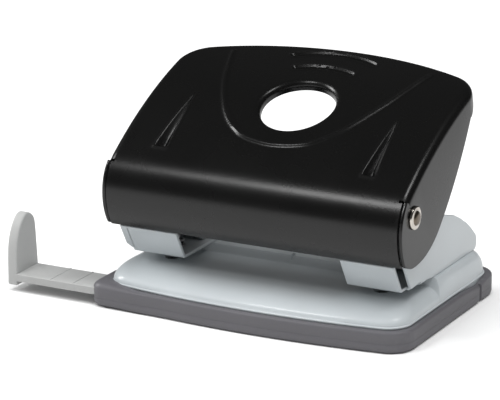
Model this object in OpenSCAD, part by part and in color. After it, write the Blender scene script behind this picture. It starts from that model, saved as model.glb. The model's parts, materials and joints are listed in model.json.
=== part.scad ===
// Two-hole desk punch: pressed steel lever and base, two folded punching heads,
// a clip-on chip tray and a sliding paper guide.
// X runs across the punch, Y from front to rear, Z up. The origin is the centre
// of the flat underside of the tray.

/* [Base plate] */
// Width of the steel base at its rim
base_w = 112; // [104:0.5:136]
// Length of the steel base, front to rear
base_l = 79.6; // [76:0.2:100]
// How far the front edge bows out at its centre
base_bow = 5; // [1:0.5:8]
// Corner radius of the base in plan
base_corner_r = 9; // [4:0.5:14]
// Height of the punching deck
deck_h = 14.1; // [12:0.1:20]
// Height at which the base meets the tray
rim_h = 7.6; // [6.8:0.1:9]
// Height of the lower edge of the base skirt
skirt_low = 3; // [2.4:0.1:4]
// Height of the slot that takes the paper
slot_h = 2.9; // [2:0.1:4]
// Thickness of the steel sheet
sheet = 1.2; // [0.8:0.1:1.6]
// Width of the rolled edge at the front
front_roll = 16; // [6:0.5:18]
// Width of the rolled edge at the sides
side_roll = 6; // [2:0.5:10]
// Width of the rolled edge at the rear
rear_roll = 8; // [3:0.5:12]
// Width of the rolled edge along the raised rear shelf
shelf_roll = 2.6; // [1:0.1:3]

/* [Punching] */
// Distance between the two holes
pin_spacing = 80; // [70:1:84]
// Diameter of the punch pins
pin_d = 5.5; // [4.5:0.1:6.6]
// Distance from the front rim to the pins
pin_setback = 23.7; // [22:0.1:30]
// Distance from the paper stop to the hole centres
stop_margin = 12; // [10:0.5:14]
// Outer diameter of the die rings
die_d = 11; // [9:0.5:14]
// Height of the die rings
die_h = 2.4; // [1.5:0.1:3]

/* [Heads] */
// Distance from the edge of the base to the bracket ears
head_margin = 2.8; // [2.6:0.1:5]
// Distance from a pin to the inner edge of its bracket
head_inner = 9.1; // [7.5:0.1:12]
// Lean of the front panel from upright, in degrees
panel_lean = 31; // [20:1:38]
// Height of the front panel above the shelf
panel_h = 10.4; // [6:0.2:11]
// Distance from the front rim to the fold of the front panel
head_setback = 15.6; // [15:0.1:20]
// Length of the bracket ears behind the paper stop
ear_l = 36.8; // [30:0.1:42]
// Height of the bracket ears at the rear
ear_rear_h = 4.8; // [2:0.1:8]
// Height of the upper pin guide above the shelf
guide_rise = 22.8; // [18:0.1:24]
// Width of the upper pin guide
guide_w = 13; // [11:0.5:15]

/* [Lever] */
// Height of the pivot above the shelf
pivot_rise = 27.7; // [27:0.1:34]
// Distance from the pivot forward of the pins
pivot_lead = 11; // [9:0.1:13]
// Diameter of the pivot rivets
pivot_d = 5; // [4:0.1:6]
// Gap between a bracket ear and the side plate of the lever
pivot_gap = 1.8; // [1.2:0.1:3]
// Distance from the pivot to the rear edge of the lever
lever_reach = 64.9; // [56:0.1:78]
// Radius of the curved top, front to rear
top_r = 163; // [120:1:260]
// Slope of the top where it leaves the nose, in degrees
top_slope = 35.2; // [30:0.1:40]
// Radius of the nose bend
nose_r = 16; // [15:0.1:18]
// Distance from the pivot to the front of the nose
nose_lead = 9.6; // [9.4:0.1:12]
// Depth of the apron below the pivot
apron_drop = 16; // [14:0.1:17]
// Radius of the finger opening
hole_r = 13.1; // [10:0.1:16]
// Distance from the pins back to the centre of the finger opening
hole_setback = 15.7; // [12:0.1:19]
// Depth of the rolled collar of the finger opening
collar_h = 3.4; // [2:0.1:5]
// Depth of the turned-down lip along the rear edge
lip_h = 4.4; // [3:0.1:6]

/* [Paper guide] */
// Width of the guide strip
guide_strip_w = 14.8; // [10:0.1:15]
// Thickness of the guide strip
guide_strip_t = 2.8; // [1.8:0.1:3]
// Length of the guide strip with its end stop
guide_l = 102; // [90:1:106]
// Height of the end stop above the rest face
guide_stop_h = 26.9; // [18:0.1:34]
// Thickness of the end stop
guide_stop_t = 3.8; // [2:0.1:4]
// How far the guide is drawn out as shown, from the tray side to the stop
guide_out = 31.8; // [30.5:0.1:40]

/* [Chip tray] */
// Thickness of the tray floor
tray_floor = 1.6; // [1.2:0.1:2]
// Thickness of the tray wall
tray_wall = 1.9; // [1.4:0.1:3]
// Clearance between the tray and the steel skirt
tray_gap = 0.3; // [0.2:0.05:0.6]
// Height of the raised rim at the rear
tray_rear_h = 7.9; // [7.7:0.1:12]
// Length of the raised rim at the rear
tray_tab_l = 16; // [10:0.1:18]
// How far the housing of the guide stands out from the side of the tray
housing_out = 2; // [1:0.1:4]

/* [Hidden] */

// Colours
steel_blue = [0.72, 0.75, 0.77];
lever_black = [0.06, 0.06, 0.065];
tray_grey = [0.40, 0.40, 0.42];
guide_grey = [0.74, 0.75, 0.75];
bright = [0.80, 0.80, 0.78];

// Fits
eps = 0.01;
run_fit = 0.05;
face_gap = 0.1;
rivet_fit = 0.03;
far = 400;
fine = 96;

// Plan layout
tray_front_gap = 2;
tray_rear_wall = 2;
tray_rear_gap = 0.8;
tray_l = tray_front_gap + base_l + tray_rear_gap + tray_rear_wall;
tray_front = -tray_l / 2;
tray_rear = tray_l / 2;
base_hw = base_w / 2;
base_front = tray_front + tray_front_gap;
base_rear = base_front + base_l;
tray_hw = base_hw + tray_gap + tray_wall;
pin_x = pin_spacing / 2;
pin_r = pin_d / 2;
pin_y = base_front + pin_setback;
stop_y = pin_y + stop_margin;
shelf_h = deck_h + slot_h;
floor_top = shelf_h + sheet;

// Heads
ear_out = base_hw - head_margin;
ear_in = ear_out - sheet;
head_in = pin_x - head_inner;
fold_y = base_front + head_setback;
pivot_y = pin_y - pivot_lead;
pivot_z = shelf_h + pivot_rise;
pivot_r = pivot_d / 2;
boss_r = 6.3;
panel_gap = 1.3;
bracket_floor_rear = stop_y + ear_l - 8;

// Upper pin guides
riser_y = stop_y - 3;
guide_z = shelf_h + guide_rise - sheet;
guide_front = pin_y - 7.5;
foot_rear = riser_y + 12.5;
rivet_r = 1.6;
rivet_head_r = 3;
rivet_head_t = 1;
front_rivet_y = stop_y + 5;
rear_rivet_y = bracket_floor_rear - 6;

// Lever, worked out about the pivot in the YZ plane
lever_in = ear_out + pivot_gap;
lever_hw = lever_in + sheet;
apron_slit = 0.5;
nose_c = [nose_r - nose_lead, -4.2];
heel_r = 21;
heel_c = [heel_r - nose_lead, nose_c[1]];
heel_end = 180 + asin((apron_drop + nose_c[1]) / heel_r);
top_c = nose_c + (top_r - nose_r) * [sin(top_slope), -cos(top_slope)];
top_start = 90 + top_slope;
top_end = acos((lever_reach - top_c[0]) / top_r);
plan_r = 128;
plan_corner_r = 14;
hole_y = pin_y + hole_setback;
hole_turn = acos((hole_y - pivot_y - top_c[0]) / top_r);
hole_z = pivot_z + top_c[1] + top_r * sin(hole_turn);
lip_front = hole_y + hole_r;

// Side plates of the lever: a round lower corner, then a long shallow curve
side_low = -17.3;
side_r = 28.8;
side_c = [0.9, side_low + side_r];
side_turn = 43.4;
back_r = 127;
back_c = side_c + (side_r + back_r) * [sin(side_turn), -cos(side_turn)]
         - 2 * back_r * [sin(side_turn), -cos(side_turn)];
back_turn = 62.5;

// Wedges under the top that press on the pins
wedge_front = [2, 6.9];
wedge_tip = [27.3, 24];
wedge_x = pin_x - 1;
wedge_w = 5.2;
wedge_tip_w = 1.2;
wedge_slope = atan2(wedge_tip[1] - wedge_front[1], wedge_tip[0] - wedge_front[0]);
wedge_off = wedge_front[1] * cos(wedge_slope) - wedge_front[0] * sin(wedge_slope);

// Pins: the ball end rests a little under its wedge
pin_rest_gap = 0.5;
pin_ball_z = pivot_z - pin_rest_gap
             + (pivot_lead * sin(wedge_slope) + wedge_off - pin_r) / cos(wedge_slope);
pin_tip_z = shelf_h + 0.3;
ring_t = 1;
ring_r = 4.6;
groove_depth = 0.5;
ring_top = guide_z - face_gap;
ring_z = ring_top - ring_t;
washer_t = 0.9;
washer_z = ring_z - washer_t;
washer_r = 4.8;

// Return springs
spring_wire_r = 0.45;
spring_mean_r = pin_r + 1.15;
spring_turns = 7.5;
spring_rings = 100;
spring_sides = 8;

// Paper guide
guide_low = 3.75;
guide_clear = 0.3;
guide_y0 = base_front + 1.3;
guide_y1 = guide_y0 + guide_strip_w;
guide_x0 = -tray_hw - guide_out - guide_stop_t;
guide_x1 = guide_x0 + guide_l;
guide_push = guide_out - 1.8;
relief_y = guide_y1 + guide_clear + 0.8;
stop_tip_r = 4;
stop_tip_y = guide_y0 + 8.2;
foot_low = 2.2;

// Chip tray
ledge_w = 1.5;
bridge_top = rim_h + 2.2;
tab_y = tray_rear - tray_tab_l;
housing_rear = guide_y1 + 4;
housing_front = guide_y0 - 1.6;
housing_r = 5;
groove_w = 1.6;

// Points along an arc
function arc(c, r, a0, a1, n) =
    [for (i = [0:n]) let (a = a0 + (a1 - a0) * i / n) c + r * [cos(a), sin(a)]];

function middle(list) = [for (i = [1:len(list) - 2]) list[i]];

// Plan outline with a bowed front and four round corners
function footprint(hw, front, rear, bow, r) =
    let (big = (hw * hw + bow * bow) / (2 * bow),
         cy = front + big - sqrt(pow(big - r, 2) - pow(hw - r, 2)),
         phi = atan2(front + big - cy, hw - r))
    concat(middle(arc([0, front + big], big, phi - 180, -phi, 12)),
           arc([hw - r, cy], r, -phi, 0, 6),
           arc([hw - r, rear - r], r, 0, 90, 6),
           arc([r - hw, rear - r], r, 90, 180, 6),
           arc([r - hw, cy], r, 180, 180 + phi, 6));

// Footprint of the steel base, drawn in by the given amounts
function base_plan(side, front, rear) =
    footprint(base_hw - side, base_front + front, base_rear - rear, base_bow,
              max(base_corner_r - side / 2, 1));

// Front-to-rear line of the lever skin, a depth below its outer face
function lever_line(depth) =
    concat(arc(heel_c, heel_r - depth, heel_end, 180, 6),
           arc(nose_c, nose_r - depth, 180, top_start, 8),
           arc(top_c, top_r - depth, top_start, top_end, 16));

function reversed(list) = [for (i = [len(list) - 1:-1:0]) list[i]];

// Plan outline of the lever: straight sides, round rear corners, bowed rear
function lever_plan(inset) =
    let (rear = pivot_y + lever_reach - inset,
         hw = lever_hw - inset,
         big = plan_r - inset,
         r = plan_corner_r - inset,
         cy = rear - big + sqrt(pow(big - r, 2) - pow(hw - r, 2)),
         phi = atan2(cy - rear + big, hw - r))
    concat([[-hw, pivot_y - far], [hw, pivot_y - far]],
           arc([hw - r, cy], r, 0, phi, 6),
           arc([0, rear - big], big, phi, 180 - phi, 14),
           arc([r - hw, cy], r, 180 - phi, 180, 6));

// Centre line of a return spring
function coil(t) =
    [spring_mean_r * cos(360 * spring_turns * t), spring_mean_r * sin(360 * spring_turns * t),
     spring_low + (spring_high - spring_low) * t];
spring_low = floor_top + spring_wire_r + eps;
spring_high = washer_z - spring_wire_r - eps;

// Solid whose outline is drawn in Y and Z and which runs from x0 to x1
module across(x0, x1) {
    translate([x0, 0, 0])
        rotate([90, 0, 90])
            linear_extrude(x1 - x0)
                children();
}

// The part of an object on the right side, or its mirror image on the left
module on_side(side) {
    if (side > 0) {
        children();
    } else {
        mirror([1, 0, 0]) children();
    }
}

// Levels of a rolled edge: height and how far the outline is drawn in
function roll_levels(low, top, steps) =
    concat([[low, 0]],
           [for (i = [0:steps]) let (a = 90 * i / steps)
                [rim_h + (top - rim_h) * sin(a), 1 - cos(a)]]);

// Solid with upright sides up to the rim and a rolled edge up to a flat top
module rolled(inset, low, top, side, front, rear) {
    steps = 6;
    rings = [for (level = roll_levels(low, top, steps))
                 let (d = level[1])
                 [for (p = base_plan(inset + side * d, inset + front * d, inset + rear * d))
                      [p[0], p[1], level[0]]]];
    n = len(rings[0]);
    last = (len(rings) - 1) * n;
    sides = [for (i = [0:len(rings) - 2], k = [0:n - 1])
                 let (j = (k + 1) % n, a = i * n, b = (i + 1) * n)
                 each [[a + k, b + k, b + j], [a + k, b + j, a + j]]];
    polyhedron(points = [for (ring = rings) each ring],
               faces = concat([[for (k = [0:n - 1]) k]], sides,
                              [[for (k = [n - 1:-1:0]) last + k]]));
}

module behind(y) {
    translate([-far / 2, y, -far / 2]) cube(far);
}

module base_plate() {
    color(steel_blue)
        difference() {
            union() {
                rolled(0, skirt_low, deck_h, side_roll, front_roll, rear_roll);
                intersection() {
                    rolled(0, skirt_low, shelf_h, shelf_roll, front_roll, rear_roll);
                    behind(stop_y);
                }
            }
            rolled(sheet, skirt_low - 1, deck_h - sheet, side_roll, front_roll, rear_roll);
            intersection() {
                rolled(sheet, skirt_low - 1, shelf_h - sheet, shelf_roll, front_roll,
                       rear_roll);
                behind(stop_y + sheet);
            }
            translate([-far / 2, relief_y - far, rim_h - far]) cube(far);
            for (side = [-1, 1]) {
                translate([side * pin_x, pin_y, 0])
                    cylinder(h = far, r = pin_r + run_fit, $fn = fine);
                // flat seat of the die
                translate([side * pin_x, pin_y, 0])
                    cylinder(h = deck_h - sheet, d = die_d + 2 * face_gap, $fn = fine);
                for (y = [front_rivet_y, rear_rivet_y]) {
                    translate([side * pin_x, y, 0])
                        cylinder(h = far, r = rivet_r + rivet_fit, $fn = fine);
                }
            }
        }
}

module die(side) {
    color(bright)
        translate([side * pin_x, pin_y, deck_h - sheet - die_h])
            difference() {
                cylinder(h = die_h, d = die_d, $fn = fine);
                translate([0, 0, -1]) cylinder(h = far, r = pin_r + run_fit, $fn = fine);
            }
}

// Outline of a bracket ear in Y and Z
function ear_outline() =
    let (lean = [-sin(panel_lean), cos(panel_lean)],
         toe = [fold_y + 2.8, shelf_h + 0.9],
         rear = stop_y + ear_l,
         crest = [stop_y + 8.3, shelf_h + ear_rear_h + 15.1])
    concat([toe, [fold_y + 9.9, shelf_h + 1.3], [stop_y - 2.2, shelf_h + 0.6],
            [stop_y, shelf_h], [rear - 1.2, shelf_h], [rear, shelf_h + 1.2],
            [rear, shelf_h + ear_rear_h],
            [rear - 4.2, shelf_h + ear_rear_h + 3.6],
            [rear - 7.8, shelf_h + ear_rear_h + 6.3],
            [rear - 14.4, shelf_h + ear_rear_h + 10],
            [rear - 19, shelf_h + ear_rear_h + 12.3]],
           [crest, [crest[0] - 12, crest[1] + 4.6]],
           arc([pivot_y, pivot_z], boss_r, 55, 190, 10),
           [[pivot_y - 3.6, pivot_z - 12.5], toe + 9.6 * lean]);

module bracket(side) {
    lean = [-sin(panel_lean), cos(panel_lean)];
    normal = [cos(panel_lean), sin(panel_lean)];
    fold = [fold_y, shelf_h];
    top = fold + panel_h / cos(panel_lean) * lean;
    color(steel_blue)
        on_side(side)
            difference() {
                union() {
                    translate([head_in, fold_y + panel_gap, shelf_h])
                        cube([ear_out - head_in - sheet / 2,
                              bracket_floor_rear - fold_y - panel_gap, sheet]);
                    across(head_in, ear_in - panel_gap)
                        polygon([fold, top, top + sheet * normal, fold + sheet * normal,
                                 fold + [2 * sheet, sheet], fold + [2 * sheet, 0]]);
                    across(ear_in, ear_out)
                        polygon(ear_outline());
                }
                translate([ear_in - panel_gap, fold_y - 1, shelf_h - 1])
                    cube([panel_gap, 4.6, far]);
                translate([pin_x, pin_y, 0])
                    cylinder(h = far, r = pin_r + run_fit, $fn = fine);
                for (y = [front_rivet_y, rear_rivet_y]) {
                    translate([pin_x, y, 0])
                        cylinder(h = floor_top + 1, r = rivet_r + rivet_fit, $fn = fine);
                }
                translate([ear_in - 1, pivot_y, pivot_z])
                    rotate([0, 90, 0])
                        cylinder(h = sheet + 2, r = pivot_r + rivet_fit, $fn = fine);
            }
}

module pin_guide(side) {
    color(bright)
        on_side(side)
            difference() {
                translate([pin_x - guide_w / 2, 0, 0])
                    union() {
                        translate([0, guide_front, guide_z])
                            cube([guide_w, riser_y - guide_front + sheet, sheet]);
                        translate([0, riser_y, floor_top])
                            cube([guide_w, sheet, guide_z - floor_top + sheet]);
                        translate([0, riser_y, floor_top])
                            cube([guide_w, foot_rear - riser_y, sheet]);
                    }
                translate([pin_x, pin_y, 0])
                    cylinder(h = far, r = pin_r + run_fit, $fn = fine);
                translate([pin_x, front_rivet_y, 0])
                    cylinder(h = far, r = rivet_r + rivet_fit, $fn = fine);
            }
}

// Rivet through a stack of sheets, with a head on both sides
module stack_rivet(low, high) {
    translate([0, 0, low]) cylinder(h = high - low, r = rivet_r, $fn = fine);
    for (z = [low - rivet_head_t, high]) {
        translate([0, 0, z]) cylinder(h = rivet_head_t, r = rivet_head_r, $fn = fine);
    }
}

module bracket_rivets() {
    low = shelf_h - sheet;
    color(bright)
        for (side = [-1, 1]) {
            translate([side * pin_x, front_rivet_y, 0])
                stack_rivet(low, floor_top + sheet);
            translate([side * pin_x, rear_rivet_y, 0])
                stack_rivet(low, floor_top);
        }
}

module pivot_rivet(side) {
    head_r = 4;
    inner_head_t = 1;
    outer_head_t = 0.9;
    stub_r = 2.2;
    stub_h = 0.8;
    color(bright)
        on_side(side)
            translate([0, pivot_y, pivot_z])
                rotate([0, 90, 0]) {
                    translate([0, 0, ear_in - inner_head_t])
                        cylinder(h = inner_head_t, r = head_r, $fn = fine);
                    translate([0, 0, ear_in - inner_head_t / 2])
                        cylinder(h = lever_hw + 2 * face_gap - ear_in + inner_head_t / 2,
                                 r = pivot_r, $fn = fine);
                    translate([0, 0, lever_hw + face_gap])
                        cylinder(h = outer_head_t, r = head_r, $fn = fine);
                    translate([0, 0, lever_hw + face_gap + outer_head_t - eps])
                        cylinder(h = stub_h, r = stub_r, $fn = fine);
                }
}

module pivot_washer(side) {
    washer_out_r = 5.4;
    color(bright)
        on_side(side)
            translate([ear_out, pivot_y, pivot_z])
                rotate([0, 90, 0])
                    difference() {
                        cylinder(h = pivot_gap - face_gap, r = washer_out_r, $fn = fine);
                        translate([0, 0, -1])
                            cylinder(h = far, r = pivot_r + run_fit, $fn = fine);
                    }
}

// Skin of the lever between two depths below its outer face
module lever_skin(depth, hw) {
    translate([0, pivot_y, pivot_z])
        across(-hw, hw)
            polygon(concat(lever_line(0), reversed(lever_line(depth))));
}

// Outline of a side plate of the lever, about the pivot
function side_outline() =
    let (skin = 0.3,
         rear = back_c + back_r * [sin(back_turn), -cos(back_turn)])
    concat(arc(side_c, side_r, -90 - 5, side_turn - 90, 8),
           arc(back_c, back_r, side_turn - 90, back_turn - 90, 8),
           [[rear[0] + 2, rear[1] + 2.5], [lever_reach, rear[1] + 10]],
           reversed(arc(top_c, top_r - skin, top_start, top_end, 16)),
           reversed(arc(nose_c, nose_r - skin, 180, top_start, 8)),
           reversed(arc(heel_c, heel_r - skin, heel_end, 180, 6)));

// Wedge pressed down into the top above a pin, drawn about the pivot
module wedge(lift) {
    intersection() {
        translate([0, pivot_y, pivot_z])
            across(wedge_x - wedge_w, wedge_x + wedge_w)
                polygon([wedge_front + [0, lift], wedge_tip + [0, lift],
                         wedge_tip + [0, far], wedge_front + [0, far]]);
        translate([wedge_x, pivot_y, 0])
            linear_extrude(far)
                polygon([[-wedge_w / 2, wedge_front[0]], [wedge_w / 2, wedge_front[0]],
                         [wedge_tip_w / 2, wedge_tip[0]], [-wedge_tip_w / 2, wedge_tip[0]]]);
    }
}

// Everything below the outer face of the lever
module under_skin(depth) {
    translate([0, pivot_y, pivot_z])
        across(-far / 2, far / 2)
            polygon(concat(lever_line(depth),
                           [[lever_reach + 10, -far / 4], [-nose_lead, -far / 4]]));
}

module lever() {
    color(lever_black)
        difference() {
            union() {
                intersection() {
                    lever_skin(sheet, lever_hw);
                    linear_extrude(far) polygon(lever_plan(0));
                }
                intersection() {
                    union() {
                        for (x = [-lever_hw, lever_in]) {
                            translate([0, pivot_y, pivot_z])
                                across(x, x + sheet)
                                    polygon(side_outline());
                        }
                    }
                    linear_extrude(far) polygon(lever_plan(0));
                }
                // lip along the rear edge
                intersection() {
                    lever_skin(lip_h, lever_hw);
                    difference() {
                        linear_extrude(far) polygon(lever_plan(0));
                        linear_extrude(far) polygon(lever_plan(sheet));
                    }
                    behind(lip_front);
                }
                // collar of the finger opening
                intersection() {
                    lever_skin(collar_h, lever_hw);
                    finger_bore(hole_r + sheet);
                }
                for (side = [-1, 1]) {
                    on_side(side)
                        intersection() {
                            wedge(0);
                            under_skin(sheet / 2);
                        }
                }
            }
            finger_bore(hole_r);
            for (side = [-1, 1]) {
                // slit between the apron and the side plates
                on_side(side)
                    translate([lever_in - apron_slit, pivot_y - far, pivot_z - far])
                        cube([apron_slit, far, far + 7]);
                on_side(side)
                    wedge_pocket();
            }
            translate([-far / 2, pivot_y, pivot_z])
                rotate([0, 90, 0])
                    cylinder(h = far, r = pivot_r + run_fit, $fn = fine);
        }
}

// Cylinder square to the lever skin, centred on the finger opening
module finger_bore(r) {
    translate([0, hole_y, hole_z])
        rotate([hole_turn - 90, 0, 0])
            cylinder(h = 4 * collar_h, r = r, center = true, $fn = fine);
}

// Hollow of a pressed wedge, open at the outer face
module wedge_pocket() {
    margin = 1;
    translate([0, pivot_y, pivot_z])
        across(wedge_x - wedge_w / 2 + margin, wedge_x + wedge_w / 2 - margin)
            polygon([wedge_front + [margin, sheet + margin], wedge_tip + [-2 * margin, sheet],
                     wedge_tip + [-2 * margin, far], wedge_front + [margin, far]]);
}

module punch_pin(side) {
    color(bright)
        translate([side * pin_x, pin_y, 0])
            difference() {
                union() {
                    translate([0, 0, pin_tip_z])
                        cylinder(h = pin_ball_z - pin_tip_z, r = pin_r, $fn = fine);
                    translate([0, 0, pin_ball_z]) sphere(r = pin_r, $fn = fine);
                }
                translate([0, 0, ring_z - run_fit])
                    difference() {
                        cylinder(h = ring_t + 2 * run_fit, r = pin_r + 1, $fn = fine);
                        translate([0, 0, -1])
                            cylinder(h = ring_t + 3, r = pin_r - groove_depth, $fn = fine);
                    }
            }
}

module return_spring(side) {
    frame = [for (k = [0:spring_sides - 1]) 360 * k / spring_sides];
    rings = [for (i = [0:spring_rings])
                 let (t = i / spring_rings,
                      p = coil(t),
                      a = 360 * spring_turns * t,
                      out = [cos(a), sin(a), 0])
                 for (b = frame)
                     p + spring_wire_r * (cos(b) * out + sin(b) * [0, 0, 1])];
    faces = [for (i = [0:spring_rings - 1], k = [0:spring_sides - 1])
                 let (j = (k + 1) % spring_sides, a = i * spring_sides,
                      b = (i + 1) * spring_sides)
                 [a + k, a + j, b + j, b + k]];
    last = spring_rings * spring_sides;
    caps = [[for (k = [spring_sides - 1:-1:0]) k],
            [for (k = [0:spring_sides - 1]) last + k]];
    color(bright)
        translate([side * pin_x, pin_y, 0])
            polyhedron(points = rings, faces = concat(faces, caps));
}

module spring_washer(side) {
    color(bright)
        translate([side * pin_x, pin_y, washer_z])
            difference() {
                cylinder(h = washer_t, r = washer_r, $fn = fine);
                translate([0, 0, -1]) cylinder(h = far, r = pin_r + run_fit, $fn = fine);
            }
}

module retaining_ring(side) {
    mouth = pin_d - 2 * groove_depth - 0.6;
    color(bright)
        translate([side * pin_x, pin_y, ring_z])
            difference() {
                cylinder(h = ring_t, r = ring_r, $fn = fine);
                translate([0, 0, -1])
                    cylinder(h = far, r = pin_r - groove_depth + rivet_fit, $fn = fine);
                translate([-mouth / 2, 0, -1]) cube([mouth, far, ring_t + 2]);
            }
}

// Plan outline of the tray
function tray_plan(inset) =
    footprint(tray_hw - inset, tray_front + inset, tray_rear - inset, base_bow,
              max(base_corner_r - inset, 1));

// Plan outline of the housing round the guide, at the left of the tray
function housing_plan() =
    let (r = housing_r,
         x = r - tray_hw - housing_out,
         inner = 5 * r - tray_hw)
    concat([[inner, housing_front]],
           arc([x, housing_front + r], r, 270, 180, 6),
           arc([x, housing_rear - r], r, 180, 90, 6),
           [[inner, housing_rear]]);

module chip_tray() {
    cavity_front = relief_y + 0.6;
    channel_x1 = guide_x1 + guide_push + 1;
    color(tray_grey)
        difference() {
            union() {
                linear_extrude(rim_h) polygon(tray_plan(0));
                // housing of the guide, with a bridge over it
                linear_extrude(rim_h) polygon(housing_plan());
                intersection() {
                    linear_extrude(bridge_top) polygon(housing_plan());
                    translate([base_corner_r - base_hw - far, -far / 2, 0]) cube(far);
                }
                // raised rim at the rear, with its pull edge
                intersection() {
                    linear_extrude(tray_rear_h) polygon(tray_plan(0));
                    behind(tab_y);
                }
            }
            // seat of the steel base
            translate([0, 0, rim_h]) linear_extrude(far) polygon(tray_seat());
            intersection() {
                translate([0, 0, skirt_low]) linear_extrude(far) polygon(tray_seat());
                behind(relief_y - 0.4);
            }
            // chip space
            intersection() {
                translate([0, 0, tray_floor])
                    linear_extrude(far)
                        polygon(base_plan(ledge_w + sheet, ledge_w + sheet,
                                          ledge_w + sheet));
                behind(cavity_front);
            }
            // channel of the guide
            translate([-far, guide_y0 - guide_clear, guide_low - guide_clear])
                cube([far + channel_x1, guide_strip_w + 2 * guide_clear,
                      guide_strip_t + 2 * guide_clear]);
            intersection() {
                translate([-far, guide_y0 - guide_clear, guide_low])
                    cube([far + channel_x1, guide_strip_w + 2 * guide_clear, far]);
                linear_extrude(far)
                    polygon(base_plan(ledge_w + sheet, ledge_w + sheet, ledge_w + sheet));
            }
            // groove that marks the pull edge
            for (side = [-1, 1]) {
                translate([side * tray_hw - 0.5, tab_y - groove_w, -1])
                    cube([1, groove_w, far]);
            }
        }
}

// Outline that takes the steel base with its clearance; wider behind the pull edge
function tray_seat() =
    footprint(base_hw + tray_gap, base_front - tray_gap, base_rear + tray_rear_gap,
              base_bow, base_corner_r + tray_gap);

module paper_guide() {
    tip_z = guide_stop_h - stop_tip_r;
    color(guide_grey)
        union() {
            translate([guide_x0 + eps, guide_y0, guide_low])
                cube([guide_l - eps, guide_strip_w, guide_strip_t]);
            across(guide_x0, guide_x0 + guide_stop_t)
                polygon(concat(
                    [[guide_y0 + 0.8, foot_low], [guide_y1 - 0.8, foot_low],
                     [guide_y1 - 0.4, guide_low + 3]],
                    arc([stop_tip_y, tip_z], stop_tip_r, 4, 150, 10),
                    [[guide_y0 + 2.2, tip_z - 3.6], [guide_y0 + 0.7, tip_z - 9],
                     [guide_y0, tip_z - 15], [guide_y0, foot_low + 1]]));
        }
}

base_plate();
die(-1);  // left_die
die(1);  // right_die
bracket(-1);  // left_bracket
bracket(1);  // right_bracket
pin_guide(-1);  // left_pin_guide
pin_guide(1);  // right_pin_guide
bracket_rivets();
pivot_rivet(-1);  // left_pivot_rivet
pivot_rivet(1);  // right_pivot_rivet
pivot_washer(-1);  // left_pivot_washer
pivot_washer(1);  // right_pivot_washer
lever();
punch_pin(-1);  // left_punch_pin
punch_pin(1);  // right_punch_pin
return_spring(-1);  // left_return_spring
return_spring(1);  // right_return_spring
spring_washer(-1);  // left_spring_washer
spring_washer(1);  // right_spring_washer
retaining_ring(-1);  // left_retaining_ring
retaining_ring(1);  // right_retaining_ring
chip_tray();
paper_guide();
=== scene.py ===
"""Two-hole desk punch: pressed steel lever and base, sprung punching heads, chip tray, paper guide."""
import json
import math

import bmesh
import bpy
import numpy as np
from mathutils import Matrix, Vector


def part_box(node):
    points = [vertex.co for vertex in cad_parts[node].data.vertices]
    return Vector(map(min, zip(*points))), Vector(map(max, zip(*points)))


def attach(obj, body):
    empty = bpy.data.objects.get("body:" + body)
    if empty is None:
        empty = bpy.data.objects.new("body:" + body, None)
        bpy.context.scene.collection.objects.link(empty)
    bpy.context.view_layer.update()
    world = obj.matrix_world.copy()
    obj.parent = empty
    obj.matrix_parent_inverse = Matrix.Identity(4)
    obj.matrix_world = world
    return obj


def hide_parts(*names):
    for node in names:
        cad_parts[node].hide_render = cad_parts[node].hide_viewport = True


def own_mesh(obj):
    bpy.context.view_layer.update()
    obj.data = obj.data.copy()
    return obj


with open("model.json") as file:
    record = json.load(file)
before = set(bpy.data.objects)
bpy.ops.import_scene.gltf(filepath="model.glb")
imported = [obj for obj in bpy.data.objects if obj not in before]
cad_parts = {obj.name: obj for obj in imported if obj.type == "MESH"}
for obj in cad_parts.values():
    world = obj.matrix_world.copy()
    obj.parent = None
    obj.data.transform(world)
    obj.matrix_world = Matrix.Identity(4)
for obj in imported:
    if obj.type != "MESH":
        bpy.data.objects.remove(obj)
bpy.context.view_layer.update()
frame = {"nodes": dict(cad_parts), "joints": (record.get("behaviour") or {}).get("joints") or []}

bl_info = {
    "name": "Desk hole punch",
    "version": (1, 0, 0),
    "blender": (4, 5, 0),
    "location": "View3D > Sidebar > Punch",
    "description": "Builds a two-hole desk punch around its packed frame",
    "category": "Object",
}

MM = 0.001
# All numbers below are in millimetres or degrees unless a comment says otherwise
LONGEST = 200.0
# Play of a hole around a pin and around a pivot rivet
PIN_PLAY = 0.05
PIVOT_PLAY = 0.04
# Lean of a bracket's front panel from upright
PANEL_LEAN = math.radians(31)
# Height of the guide's strip above the table, its thickness, and the channel floor under it
STRIP_LOW = 3.75
STRIP_THICK = 2.8
CHANNEL_FLOOR = 3.45


# ---------------------------------------------------------------- sizes and colours

def length(name, description, default_mm):
    """A length that a user may change, held in metres and given here in millimetres."""
    return bpy.props.FloatProperty(
        name=name, description=description, default=default_mm * MM,
        min=0.0, max=LONGEST * MM, unit="LENGTH", subtype="DISTANCE", precision=5)


def colour(name, description, default):
    """A paint or plastic colour, as linear red, green and blue."""
    return bpy.props.FloatVectorProperty(
        name=name, description=description, default=default,
        size=3, min=0.0, max=1.0, subtype="COLOR")


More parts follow.
